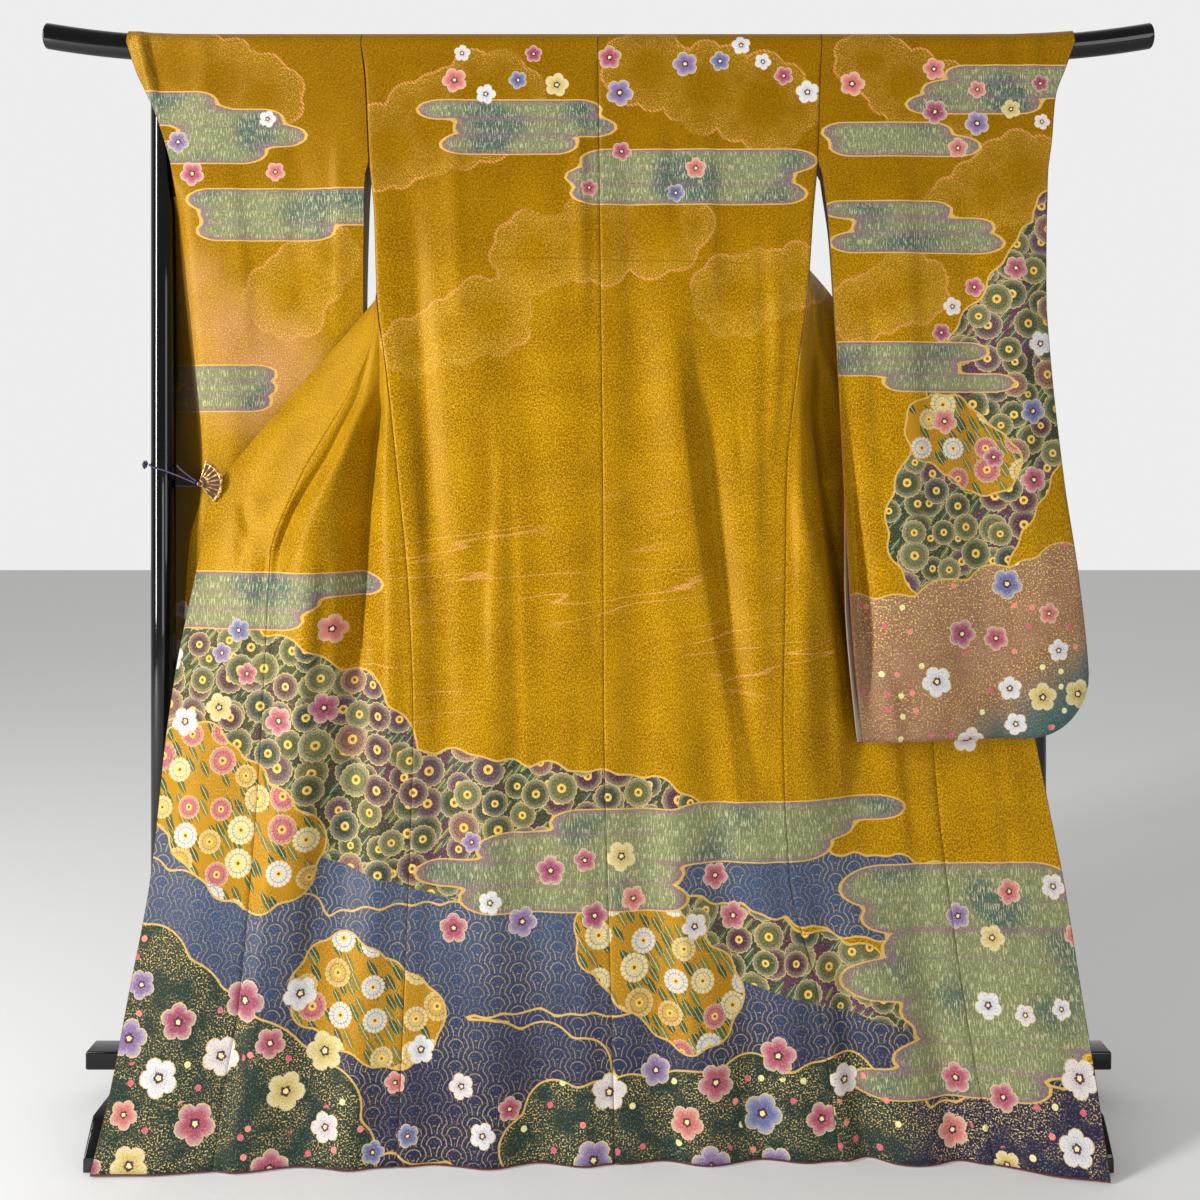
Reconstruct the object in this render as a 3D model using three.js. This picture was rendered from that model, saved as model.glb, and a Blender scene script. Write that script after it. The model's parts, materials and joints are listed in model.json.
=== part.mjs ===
// A furisode, the long-sleeved silk kimono, opened over a black lacquered kimono stand.
// Millimetres, +Z up. The back of the garment faces -Y, and its left side lies towards -X.
// "reach" is how far a point lies in front of the stand's posts, towards -Y.
import * as THREE from 'three';

// ---- Driving sizes ----
const CLOTH = 2.0;            // silk, padding and lining together
const SEAM_GAP = 0.3;         // between pieces that are sewn or fitted together
const HEM_HEIGHT = 5;         // hem above the floor

const RAIL_HEIGHT = 1474;     // centre line of the top rail
const RAIL_RADIUS = 18;
const RAIL_SWEEP = [          // how far the rail's ends sweep up, from its straight middle out
  { x: 480, rise: 0 }, { x: 580, rise: 1.8 }, { x: 680, rise: 7.1 }, { x: 780, rise: 16 },
];
const OVER_RAIL = RAIL_RADIUS + 0.8 + CLOTH / 2;   // middle of the cloth's wall round the rail

const POST_SPACING = 1231.2;
const POST_RADIUS = 17;
const LOWER_BAR = { halfLength: 719, depth: 40, bottom: 38, top: 64 };
const MIDDLE_BAR = { height: 860, thick: 11, deep: 11 };
const FOOT = { halfLength: 218, width: 60, height: 57, toe: 19, arch: 14, pad: 60 };

const ARMHOLE_BOTTOM = 1315;  // below this height the sleeve hangs free of the body
const SIDE_SEAM_TOP = 1122;
const OKUMI_TOP = 1225;
const CUFF_BOTTOM = 1265;     // the sleeve's outer edge is open above this height
const SLEEVE_BOTTOM = 515;
const SLEEVE_CORNER = 85;     // radius of the sleeve's outer bottom corner
const NECK_HALF_WIDTH = 0.27; // share of a body panel that the neck opening takes
const NECK_ANGLE = 108;       // degrees round the rail where the back neckline is cut
const COLLAR_WIDTH = 44;

const COLOURS = { silk: 0xc8960f, hemLining: 0x8e2f2a, lacquer: 0x08080a, brass: 0x8a6a34, cord: 0x2b2350 };

// ---- Seam lines: where each long edge lies at a height z, from shoulder to hem ----
const BACK_CENTRE = [
  { z: 1494, x: -1 }, { z: 1122, x: 3 }, { z: 840, x: 6 }, { z: 574, x: 7 }, { z: 200, x: 16 }, { z: 5, x: 21 },
];
const LEFT = {
  sign: -1,
  hemReach: 210,
  back: [
    { z: 1494, x: -336 }, { z: 1445, x: -328 }, { z: 1315, x: -320 }, { z: 1240, x: -312 }, { z: 1122, x: -306 },
    { z: 1000, x: -289 }, { z: 880, x: -274 }, { z: 700, x: -254 }, { z: 510, x: -245 }, { z: 200, x: -250 },
    { z: 5, x: -254 },
  ],
  side: [
    { z: 1315, x: -320, reach: -OVER_RAIL }, { z: 1270, x: -316, reach: -8 }, { z: 1225, x: -312, reach: 12 },
    { z: 1180, x: -309, reach: 32 }, { z: 1122, x: -306, reach: 46 },
  ],
  seam: [
    { z: 1494, x: -86, reach: -OVER_RAIL }, { z: 1400, x: -138, reach: -OVER_RAIL }, { z: 1315, x: -192, reach: -OVER_RAIL },
    { z: 1270, x: -217, reach: -OVER_RAIL }, { z: 1225, x: -246, reach: -17 }, { z: 1180, x: -276, reach: -4 },
    { z: 1122, x: -307, reach: 38 }, { z: 1077, x: -309, reach: 46 }, { z: 1000, x: -336, reach: 50 },
    { z: 860, x: -412, reach: 62 }, { z: 760, x: -445, reach: 79 }, { z: 510, x: -448, reach: 122 },
    { z: 200, x: -460, reach: 182 }, { z: 100, x: -473, reach: 202 }, { z: 5, x: -483, reach: 221 },
  ],
  edge: [
    { z: 1270, x: -217, reach: -OVER_RAIL }, { z: 1225, x: -241, reach: -19.5 }, { z: 1180, x: -272, reach: -14 },
    { z: 1122, x: -309, reach: 15 }, { z: 1099, x: -327, reach: 19 }, { z: 1000, x: -413, reach: 27 },
    { z: 900, x: -497, reach: 35 }, { z: 860, x: -527, reach: 38 }, { z: 838, x: -538, reach: 42 },
    { z: 760, x: -549, reach: 54 }, { z: 600, x: -574, reach: 80 }, { z: 510, x: -581, reach: 100 },
    { z: 350, x: -587, reach: 138 }, { z: 200, x: -603, reach: 181 }, { z: 100, x: -615, reach: 207 },
    { z: 5, x: -632, reach: 231 },
  ],
};
const RIGHT = {
  sign: 1,
  hemReach: 196,
  back: [
    { z: 1494, x: 314 }, { z: 1442, x: 311 }, { z: 1315, x: 306 }, { z: 1240, x: 299 }, { z: 1122, x: 289 },
    { z: 1000, x: 271 }, { z: 880, x: 257 }, { z: 700, x: 251 }, { z: 510, x: 245 }, { z: 350, x: 250 },
    { z: 200, x: 284 }, { z: 5, x: 306 },
  ],
  side: [
    { z: 1315, x: 306, reach: -OVER_RAIL }, { z: 1270, x: 302, reach: -8 }, { z: 1225, x: 298, reach: 14 },
    { z: 1180, x: 294, reach: 33 }, { z: 1122, x: 289, reach: 46 },
  ],
  seam: [
    { z: 1494, x: 86, reach: -OVER_RAIL }, { z: 1400, x: 146, reach: -OVER_RAIL }, { z: 1315, x: 200, reach: -OVER_RAIL },
    { z: 1270, x: 228, reach: -OVER_RAIL }, { z: 1225, x: 256, reach: -15 }, { z: 1180, x: 284, reach: 0 },
    { z: 1122, x: 302, reach: 24 }, { z: 1077, x: 314, reach: 14 }, { z: 1000, x: 348, reach: 9 },
    { z: 860, x: 400, reach: 24 }, { z: 700, x: 435, reach: 38 }, { z: 510, x: 457, reach: 62 },
    { z: 430, x: 459, reach: 84 }, { z: 250, x: 472, reach: 130 }, { z: 150, x: 481, reach: 160 },
    { z: 5, x: 500, reach: 205 },
  ],
  edge: [
    { z: 1270, x: 228, reach: -OVER_RAIL }, { z: 1225, x: 251, reach: -18.5 }, { z: 1180, x: 286, reach: -13 },
    { z: 1122, x: 333, reach: -6 }, { z: 1077, x: 363, reach: -5 }, { z: 1000, x: 412, reach: -2 },
    { z: 860, x: 505, reach: 12 }, { z: 700, x: 565, reach: 25 }, { z: 520, x: 602, reach: 42 },
    { z: 430, x: 611, reach: 72 }, { z: 300, x: 624, reach: 115 }, { z: 190, x: 627, reach: 163 },
    { z: 100, x: 630, reach: 203 }, { z: 5, x: 631, reach: 246 },
  ],
};

// ---- Sleeve edges: near is the layer in front of the rail, far the layer behind it ----
// A lip is how far the far layer's inner edge looks out past the near one, lower down.
const SLEEVE_LEFT = {
  body: LEFT,
  lip: 0,
  inner: [{ z: 1315, x: -323 }, { z: 1249, x: -327 }, { z: 1100, x: -331 }, { z: 515, x: -335 }],
  outerNear: [
    { z: 1494, x: -664 }, { z: 1453, x: -654 }, { z: 1397, x: -628 }, { z: 1337, x: -607 }, { z: 1300, x: -598 },
    { z: 1207, x: -588 }, { z: 1118, x: -580 }, { z: 1022, x: -573 }, { z: 900, x: -566 }, { z: 840, x: -569 },
    { z: 780, x: -584 }, { z: 640, x: -592 }, { z: 515, x: -592 },
  ],
  outerFar: [
    { z: 1494, x: -664 }, { z: 1453, x: -654 }, { z: 1397, x: -628 }, { z: 1337, x: -607 }, { z: 1300, x: -596 },
    { z: 1265, x: -592 }, { z: 515, x: -592 },
  ],
  reach: [
    { z: 1474, innerNear: OVER_RAIL, outerNear: OVER_RAIL, innerFar: -OVER_RAIL, outerFar: -OVER_RAIL },
    { z: 1315, innerNear: 22, outerNear: 20, innerFar: -OVER_RAIL, outerFar: -20 },
    { z: 1240, innerNear: 20, outerNear: 19, innerFar: -20, outerFar: -18 },
    { z: 860, innerNear: -14, outerNear: -14, innerFar: -28, outerFar: -28 },
    { z: 515, innerNear: -16, outerNear: -16, innerFar: -29, outerFar: -29 },
  ],
};
const SLEEVE_RIGHT = {
  body: RIGHT,
  lip: 4,
  inner: [
    { z: 1315, x: 309 }, { z: 1224, x: 318 }, { z: 1117, x: 323 }, { z: 951, x: 330 }, { z: 783, x: 336 },
    { z: 645, x: 342 }, { z: 515, x: 352 },
  ],
  outerNear: [
    { z: 1494, x: 671 }, { z: 1454, x: 659 }, { z: 1401, x: 639 }, { z: 1336, x: 632 }, { z: 1290, x: 626 },
    { z: 1118, x: 622 }, { z: 1046, x: 626 }, { z: 865, x: 643 }, { z: 730, x: 661 }, { z: 600, x: 672 },
    { z: 515, x: 674 },
  ],
  outerFar: [
    { z: 1494, x: 671 }, { z: 1454, x: 655 }, { z: 1425, x: 628 }, { z: 1400, x: 600 }, { z: 1370, x: 587 },
    { z: 1340, x: 584 }, { z: 1315, x: 587 }, { z: 1290, x: 603 }, { z: 1265, x: 624 }, { z: 1118, x: 622 },
    { z: 1046, x: 626 }, { z: 865, x: 643 }, { z: 730, x: 661 }, { z: 600, x: 672 }, { z: 515, x: 674 },
  ],
  reach: [
    { z: 1474, innerNear: OVER_RAIL, outerNear: OVER_RAIL, innerFar: -OVER_RAIL, outerFar: -OVER_RAIL },
    { z: 1400, innerNear: 25, outerNear: 23, innerFar: -OVER_RAIL, outerFar: -21 },
    { z: 1370, innerNear: 28, outerNear: 25, innerFar: -OVER_RAIL, outerFar: -15 },
    { z: 1340, innerNear: 30, outerNear: 27, innerFar: -OVER_RAIL, outerFar: 0 },
    { z: 1315, innerNear: 33, outerNear: 28, innerFar: -OVER_RAIL, outerFar: 14 },
    { z: 1265, innerNear: 38, outerNear: 31, innerFar: -6, outerFar: 21.5 },
    { z: 1122, innerNear: 52, outerNear: 38, innerFar: 19, outerFar: 25 },
    { z: 1000, innerNear: 63, outerNear: 42, innerFar: 36, outerFar: 29 },
    { z: 860, innerNear: 76, outerNear: 49, innerFar: 54, outerFar: 36 },
    { z: 700, innerNear: 91, outerNear: 57, innerFar: 73, outerFar: 44 },
    { z: 515, innerNear: 108, outerNear: 66, innerFar: 95, outerFar: 53 },
  ],
};

// ---- Folds: a ridge (or, below zero, a trough) that runs down a panel ----
// Places are shares of the panel's width from its inner edge; heights are in millimetres.
const FOLDS = {
  backLeft: [
    { atTop: 0.20, atHem: 0.14, width: 0.10, top: 0, middle: 4, hem: 7 },
    { atTop: 0.42, atHem: 0.36, width: 0.10, top: 0, middle: -4, hem: -6 },
    { atTop: 0.60, atHem: 0.58, width: 0.11, top: 0, middle: 6, hem: 9 },
    { atTop: 0.86, atHem: 0.84, width: 0.09, top: 0, middle: -9, hem: -5 },
  ],
  backRight: [
    { atTop: 0.16, atHem: 0.22, width: 0.10, top: 0, middle: -5, hem: -7 },
    { atTop: 0.38, atHem: 0.42, width: 0.11, top: 0, middle: 5, hem: 8 },
    { atTop: 0.62, atHem: 0.66, width: 0.10, top: 0, middle: -6, hem: -8 },
    { atTop: 0.84, atHem: 0.86, width: 0.08, top: 0, middle: 5, hem: 4 },
  ],
  frontLeft: [
    { atTop: 0.90, atHem: 0.55, width: 0.13, top: 0, middle: 24, hem: 8 },
    { atTop: 0.44, atHem: 0.34, width: 0.17, top: 0, middle: -24, hem: -6 },
    { atTop: 0.14, atHem: 0.14, width: 0.10, top: 0, middle: 7, hem: 5 },
  ],
  frontRight: [
    { atTop: 0.88, atHem: 0.80, width: 0.11, top: 0, middle: 12, hem: -14 },
    { atTop: 0.50, atHem: 0.52, width: 0.19, top: -6, middle: -23, hem: 8 },
    { atTop: 0.22, atHem: 0.22, width: 0.12, top: 0, middle: 0, hem: -10 },
  ],
  okumiLeft: [{ atTop: 0.5, atHem: 0.5, width: 0.25, top: 0, middle: 3, hem: 4 }],
  okumiRight: [{ atTop: 0.5, atHem: 0.45, width: 0.25, top: 0, middle: 2, hem: 6 }],
  sleeveLeft: [
    { atTop: 0.22, atHem: 0.25, width: 0.12, top: 0, middle: 3, hem: 3 },
    { atTop: 0.55, atHem: 0.50, width: 0.14, top: 0, middle: -3, hem: -3 },
    { atTop: 0.80, atHem: 0.78, width: 0.10, top: 0, middle: 4, hem: 3 },
  ],
  sleeveRight: [
    { atTop: 0.25, atHem: 0.30, width: 0.13, top: 0, middle: 4, hem: 3 },
    { atTop: 0.55, atHem: 0.58, width: 0.14, top: 0, middle: -4, hem: -4 },
    { atTop: 0.82, atHem: 0.84, width: 0.10, top: 0, middle: 4, hem: 2 },
  ],
};

// ---- Rows of each wall ----
const LOWER_ROWS = [5, 60, 130, 210, 300, 400, 510, 620, 720, 800, 860, 925, 980, 1030, 1077, 1100, 1122];
const ARMHOLE_ROWS = [1435, 1400, 1370, 1340, 1315];   // shared, so that body and sleeve meet evenly
const BACK_ROWS = [1180, 1245, ...[...ARMHOLE_ROWS].reverse()];
const TURN_ROWS = [...ARMHOLE_ROWS, 1292, 1270, 1247, 1225, 1202, 1180, 1160, 1140];
const WRAP_ANGLES = [0, 27, 54, 81, NECK_ANGLE, 132, 156, 180];
const SLEEVE_ROWS = [...ARMHOLE_ROWS, 1290, 1265, 1190, 1100, 1000, 900, 800, 700, 610, 555, 515];
const NECK_COLUMNS = 3;
const BODY_COLUMNS = 12;
const OKUMI_COLUMNS = 3;
const SLEEVE_COLUMNS = 10;

const materials = Object.fromEntries(Object.entries({
  silk: [COLOURS.silk, 0.5, 0],
  hemLining: [COLOURS.hemLining, 0.6, 0],
  lacquer: [COLOURS.lacquer, 0.12, 0],
  brass: [COLOURS.brass, 0.38, 1],
  cord: [COLOURS.cord, 0.7, 0],
}).map(([name, [color, roughness, metalness]]) =>
  [name, new THREE.MeshStandardMaterial({ color, roughness, metalness })]));

const kimono = new THREE.Group();

function addPiece(name, geometry, material) {
  const piece = new THREE.Mesh(geometry, material);
  piece.name = name;
  kimono.add(piece);
  return piece;
}

const lerp = THREE.MathUtils.lerp;
const smooth = (value, from, to) => THREE.MathUtils.smoothstep(value, from, to);

// One column of a table at a height, along a curve that never overshoots its rows.
function lineAt(table, column, z) {
  const rows = [...table].sort((a, b) => a.z - b.z);
  const last = rows.length - 1;
  if (z <= rows[0].z) return rows[0][column];
  if (z >= rows[last].z) return rows[last][column];
  const k = rows.findIndex((row, i) => z >= row.z && z < rows[i + 1].z);
  const slope = (i) => (rows[i + 1][column] - rows[i][column]) / (rows[i + 1].z - rows[i].z);
  const tangent = (i) => {
    if (i === 0) return slope(0);
    if (i === last) return slope(last - 1);
    const [before, after] = [slope(i - 1), slope(i)];
    return before * after <= 0 ? 0 : (2 * before * after) / (before + after);
  };
  const span = rows[k + 1].z - rows[k].z;
  const t = (z - rows[k].z) / span;
  return rows[k][column] * (1 + 2 * t) * (1 - t) ** 2 + tangent(k) * span * t * (1 - t) ** 2
    + rows[k + 1][column] * t * t * (3 - 2 * t) + tangent(k + 1) * span * t * t * (t - 1);
}

function railCentre(x) {
  const out = Math.abs(x);
  const next = RAIL_SWEEP.findIndex((row) => out <= row.x);
  if (next <= 0) return RAIL_HEIGHT + (next === 0 ? 0 : RAIL_SWEEP.at(-1).rise);
  const [from, to] = [RAIL_SWEEP[next - 1], RAIL_SWEEP[next]];
  return RAIL_HEIGHT + lerp(from.rise, to.rise, (out - from.x) / (to.x - from.x));
}

// How far the back panels lean forward: straight down from the rail, then out towards the hem.
function backReach(hemReach, z) {
  const down = Math.max(0, (RAIL_HEIGHT - z) / (RAIL_HEIGHT - HEM_HEIGHT));
  return OVER_RAIL + (hemReach - OVER_RAIL) * down ** 1.35;
}

// The folds of one panel at a share of its width and a height; they die out at both seams.
function foldAt(folds, share, z, topHeight) {
  const down = THREE.MathUtils.clamp((topHeight - z) / (topHeight - HEM_HEIGHT), 0, 1);
  const seams = smooth(share, 0, 0.12) * smooth(1 - share, 0, 0.12);
  let sum = 0;
  for (const fold of folds) {
    const place = lerp(fold.atTop, fold.atHem, down);
    const height = down < 0.35
      ? lerp(fold.top, fold.middle, smooth(down, 0, 0.35))
      : lerp(fold.middle, fold.hem, smooth(down, 0.35, 1));
    sum += height * Math.exp(-(((share - place) / fold.width) ** 2));
  }
  return sum * seams;
}

// A cloth wall: points in the middle of the wall, the way out of it at each point, and four-sided cells.
class Wall {
  constructor(thickness = CLOTH) {
    this.half = thickness / 2;
    this.points = [];
    this.outward = [];
    this.cells = [];
  }

  add(point, outward) {
    this.points.push(point);
    this.outward.push(outward.clone().normalize());
    return this.points.length - 1;
  }

  // Adds the cells between rows of equal length; a hole in a row is written as null.
  // A cell starts at a corner of its shorter diagonal, where it is split.
  join(rows) {
    for (let j = 0; j + 1 < rows.length; j++) {
      for (let i = 0; i + 1 < rows[j].length; i++) {
        const cell = [rows[j][i], rows[j][i + 1], rows[j + 1][i + 1], rows[j + 1][i]];
        if (cell.includes(null)) continue;
        const across = (from, to) => this.points[cell[from]].distanceTo(this.points[cell[to]]);
        if (across(1, 3) < across(0, 2) - 0.01) cell.push(cell.shift());
        this.cells.push(cell);
      }
    }
  }

  geometry() {
    const count = this.points.length;
    const shifted = (sign) => this.points.map((p, i) => p.clone().addScaledVector(this.outward[i], sign * this.half));
    const positions = [...shifted(1), ...shifted(-1)].flatMap((p) => p.toArray());
    const edges = new Map();
    const index = [];
    for (const [a, b, c, d] of this.cells) {
      index.push(a, b, c, a, c, d);
      index.push(count + c, count + b, count + a, count + d, count + c, count + a);
      for (const [from, to] of [[a, b], [b, c], [c, d], [d, a]]) edges.set(`${from},${to}`, [from, to]);
    }
    for (const [from, to] of edges.values()) {
      if (edges.has(`${to},${from}`)) continue;
      index.push(to, from, count + from, to, count + from, count + to);
    }
    const used = new Map();
    const vertices = [];
    const compact = index.map((i) => {
      if (!used.has(i)) {
        used.set(i, used.size);
        vertices.push(positions[3 * i], positions[3 * i + 1], positions[3 * i + 2]);
      }
      return used.get(i);
    });
    return facingOut(vertices, compact);
  }
}

function facingOut(vertices, index) {
  let volume = 0;
  const at = (i) => new THREE.Vector3().fromArray(vertices, 3 * i);
  for (let i = 0; i < index.length; i += 3) {
    volume += at(index[i]).dot(at(index[i + 1]).cross(at(index[i + 2])));
  }
  if (volume < 0) {
    for (let i = 0; i < index.length; i += 3) [index[i + 1], index[i + 2]] = [index[i + 2], index[i + 1]];
  }
  const geometry = new THREE.BufferGeometry();
  geometry.setAttribute('position', new THREE.Float32BufferAttribute(vertices, 3));
  geometry.setIndex(index);
  geometry.computeVertexNormals();
  return geometry;
}

const place = (x, reach, z) => new THREE.Vector3(x, -reach, z);
const TOWARDS_VIEWER = new THREE.Vector3(0, -1, 0);

function roundTheRail(x, angleDegrees) {
  const angle = THREE.MathUtils.degToRad(angleDegrees);
  const outward = new THREE.Vector3(0, -Math.cos(angle), Math.sin(angle));
  const point = new THREE.Vector3(x, 0, railCentre(x)).addScaledVector(outward, OVER_RAIL);
  return { point, outward };
}

// ---- The three long lines of a front, and the way out of its cloth ----
function frontLine(side, name, z) {
  if (name === 'side' && z <= SIDE_SEAM_TOP) {
    return { x: lineAt(side.back, 'x', z), reach: backReach(side.hemReach, z) };
  }
  if (name === 'side' && z >= ARMHOLE_BOTTOM) return { x: lineAt(side.back, 'x', z), reach: -OVER_RAIL };
  const table = name === 'edge' && z >= side.edge[0].z ? side.seam : side[name];
  return { x: lineAt(table, 'x', z), reach: lineAt(table, 'reach', z) };
}

// A front hangs behind the rail, turns over at the top of the side seam and faces the viewer below it.
function frontOutward(side, z) {
  const from = frontLine(side, 'side', z);
  const to = frontLine(side, 'edge', z);
  const across = new THREE.Vector2(to.x - from.x, from.reach - to.reach);
  const turned = new THREE.Vector3(side.sign * across.y, -side.sign * across.x, 0).normalize();
  return turned.lerp(TOWARDS_VIEWER, 1 - smooth(z, 880, 1000)).normalize();
}

function acrossFront(side, z) {
  const outward = frontOutward(side, z);
  return new THREE.Vector3(-side.sign * outward.y, side.sign * outward.x, 0);
}

// ---- Body panels: one length of silk from the back hem over the rail to the front hem ----
function bodyShare(column) {
  if (column <= NECK_COLUMNS) return (NECK_HALF_WIDTH * column) / NECK_COLUMNS;
  return NECK_HALF_WIDTH + ((1 - NECK_HALF_WIDTH) * (column - NECK_COLUMNS)) / (BODY_COLUMNS - NECK_COLUMNS);
}

function backPoint(side, folds, share, z) {
  const centre = lineAt(BACK_CENTRE, 'x', z) + (side.sign * SEAM_GAP) / 2;
  const edge = lineAt(side.back, 'x', z) - (side.sign * SEAM_GAP) / 2;
  const middleHem = (LEFT.hemReach + RIGHT.hemReach) / 2;
  const reach = lerp(backReach(middleHem, z), backReach(side.hemReach, z), share);
  return place(lerp(centre, edge, share), reach + foldAt(folds, share, z, RAIL_HEIGHT), z);
}

// Half the gap between a front and its okumi, wider where both turn over at the side seam's top.
const halfOkumiGap = (z) => (SEAM_GAP / 2) * (1 + 2 * smooth(z, 1060, 1105));

function frontPoint(side, folds, share, z) {
  const seam = frontLine(side, 'seam', z);
  const edge = frontLine(side, 'side', z);
  const sideGap = SEAM_GAP / 2 + (CLOTH / 2) * Math.abs(frontOutward(side, z).x);
  const seamGap = acrossFront(side, z).multiplyScalar(-halfOkumiGap(z));
  const edgeX = z <= SIDE_SEAM_TOP ? edge.x + side.sign * sideGap : edge.x;
  const from = place(seam.x, seam.reach, z).add(seamGap);
  const to = place(edgeX, edge.reach, z);
  return from.lerp(to, share).addScaledVector(TOWARDS_VIEWER, foldAt(folds, share, z, SIDE_SEAM_TOP));
}

function bodyPanel(name, side, backFolds, frontFolds) {
  const wall = new Wall();
  const columns = [...Array(BODY_COLUMNS + 1).keys()];
  const rows = [];
  for (const z of [...LOWER_ROWS, ...BACK_ROWS]) {
    rows.push(columns.map((i) => wall.add(backPoint(side, backFolds, bodyShare(i), z), TOWARDS_VIEWER)));
  }
  for (const angle of WRAP_ANGLES) {
    rows.push(columns.map((i) => {
      if (i < NECK_COLUMNS && angle > NECK_ANGLE) return null;
      const x = backPoint(side, backFolds, bodyShare(i), RAIL_HEIGHT).x;
      const { point, outward } = roundTheRail(x, angle);
      return wall.add(point, outward);
    }));
  }
  for (const z of [...TURN_ROWS, ...[...LOWER_ROWS].reverse()]) {
    rows.push(columns.map((i) => {
      if (i < NECK_COLUMNS) return null;
      const share = (i - NECK_COLUMNS) / (BODY_COLUMNS - NECK_COLUMNS);
      const outward = i === BODY_COLUMNS && z < SIDE_SEAM_TOP ? TOWARDS_VIEWER : frontOutward(side, z);
      return wall.add(frontPoint(side, frontFolds, share, z), outward);
    }));
  }
  wall.join(rows);
  addPiece(name, wall.geometry(), materials.silk);
}
bodyPanel('body_left', LEFT, FOLDS.backLeft, FOLDS.frontLeft);
bodyPanel('body_right', RIGHT, FOLDS.backRight, FOLDS.frontRight);

// ---- Okumi: the narrow panel sewn along each front, with its tip under the collar ----
function okumiPoint(side, folds, share, z) {
  const edge = frontLine(side, 'edge', z);
  const seam = frontLine(side, 'seam', z);
  const seamGap = acrossFront(side, z).multiplyScalar(halfOkumiGap(z));
  const from = place(edge.x, edge.reach, z);
  const to = place(seam.x, seam.reach, z).add(seamGap);
  const point = from.clone().lerp(to, share);
  const sag = side === LEFT ? smooth(z, 500, 800) * (1 - smooth(z, 1000, 1120)) : 0;
  point.y = lerp(from.y, to.y, lerp(share, share ** 2, sag));
  return point.addScaledVector(TOWARDS_VIEWER, foldAt(folds, share, z, SIDE_SEAM_TOP));
}

function okumi(name, side, folds) {
  const wall = new Wall();
  const columns = [...Array(OKUMI_COLUMNS + 1).keys()];
  const heights = [...TURN_ROWS.filter((z) => z <= OKUMI_TOP), ...[...LOWER_ROWS].reverse()];
  const rows = heights.map((z) => columns.map((i) =>
    wall.add(okumiPoint(side, folds, i / OKUMI_COLUMNS, z), frontOutward(side, z))));
  wall.join(rows);
  addPiece(name, wall.geometry(), materials.silk);
}
okumi('okumi_left', LEFT, FOLDS.okumiLeft);
okumi('okumi_right', RIGHT, FOLDS.okumiRight);

// ---- Sleeves: one length folded over the rail, closed at the bottom and below the cuff ----
function sleeveCornerHeight(share) {
  const start = 0.72;
  const round = Math.max(0, (share - start) / (1 - start));
  return SLEEVE_BOTTOM + SLEEVE_CORNER * (1 - Math.sqrt(1 - Math.min(1, round * round)));
}

function sleevePoint(sleeve, folds, layer, share, rowHeight) {
  const { body } = sleeve;
  const cornered = (CUFF_BOTTOM - rowHeight) * (CUFF_BOTTOM - sleeveCornerHeight(share)) / (CUFF_BOTTOM - SLEEVE_BOTTOM);
  const z = rowHeight > CUFF_BOTTOM ? rowHeight : CUFF_BOTTOM - cornered;
  const seamX = lineAt(body.back, 'x', z) + (body.sign * SEAM_GAP) / 2;
  const lip = layer === 'Far' ? sleeve.lip * (1 - smooth(z, 860, 1000)) : 0;
  const inner = z >= ARMHOLE_BOTTOM ? seamX : lineAt(sleeve.inner, 'x', z) - body.sign * lip;
  const outer = lineAt(sleeve[`outer${layer}`], 'x', z);
  const hung = lerp(lineAt(sleeve.reach, `inner${layer}`, z), lineAt(sleeve.reach, `outer${layer}`, z), share);
  const sewn = layer === 'Near' ? backReach(body.hemReach, z) : -OVER_RAIL;
  const atSeam = (1 - smooth(share, 0, 0.35)) * smooth(z, ARMHOLE_BOTTOM - 120, ARMHOLE_BOTTOM);
  const reach = lerp(hung, sewn, atSeam) + foldAt(folds, share, z, RAIL_HEIGHT);
  return place(lerp(inner, outer, share), reach, z);
}

function sleeve(name, shape, folds) {
  const wall = new Wall();
  const columns = [...Array(SLEEVE_COLUMNS + 1).keys()];
  const layerRows = (layer, facing) => SLEEVE_ROWS.map((rowHeight) => columns.map((i) => {
    const share = i / SLEEVE_COLUMNS;
    const closedSide = i === SLEEVE_COLUMNS && rowHeight <= CUFF_BOTTOM ? shape.body.sign : 0;
    const closedBottom = rowHeight === SLEEVE_BOTTOM ? -1 : 0;
    const outward = new THREE.Vector3(closedSide, facing, closedBottom);
    return wall.add(sleevePoint(shape, folds, layer, share, rowHeight), outward);
  }));
  const near = layerRows('Near', -1);
  const far = layerRows('Far', 1);
  const wrap = WRAP_ANGLES.map((angle) => columns.map((i) => {
    const x = lerp(lineAt(shape.body.back, 'x', RAIL_HEIGHT) + (shape.body.sign * SEAM_GAP) / 2,
      lineAt(shape.outerNear, 'x', railCentre(700)), i / SLEEVE_COLUMNS);
    const { point, outward } = roundTheRail(x, angle);
    return wall.add(point, outward);
  }));
  wall.join([...[...near].reverse(), ...wrap, ...far]);
  const closed = SLEEVE_ROWS.map((z, j) => j).filter((j) => SLEEVE_ROWS[j] <= CUFF_BOTTOM);
  wall.join([closed.map((j) => near[j][SLEEVE_COLUMNS]), closed.map((j) => far[j][SLEEVE_COLUMNS])]);
  wall.join([far[SLEEVE_ROWS.length - 1], near[SLEEVE_ROWS.length - 1]]);
  addPiece(name, wall.geometry(), materials.silk);
}
sleeve('sleeve_left', SLEEVE_LEFT, FOLDS.sleeveLeft);
sleeve('sleeve_right', SLEEVE_RIGHT, FOLDS.sleeveRight);

// ---- Collar: one band from front to front round the back of the neck ----
// It stands out from the edge at the neck and lies folded behind the edge further down.
const COLLAR_SHARES = [0, 0.18, 0.36, 0.545, 1];
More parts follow.
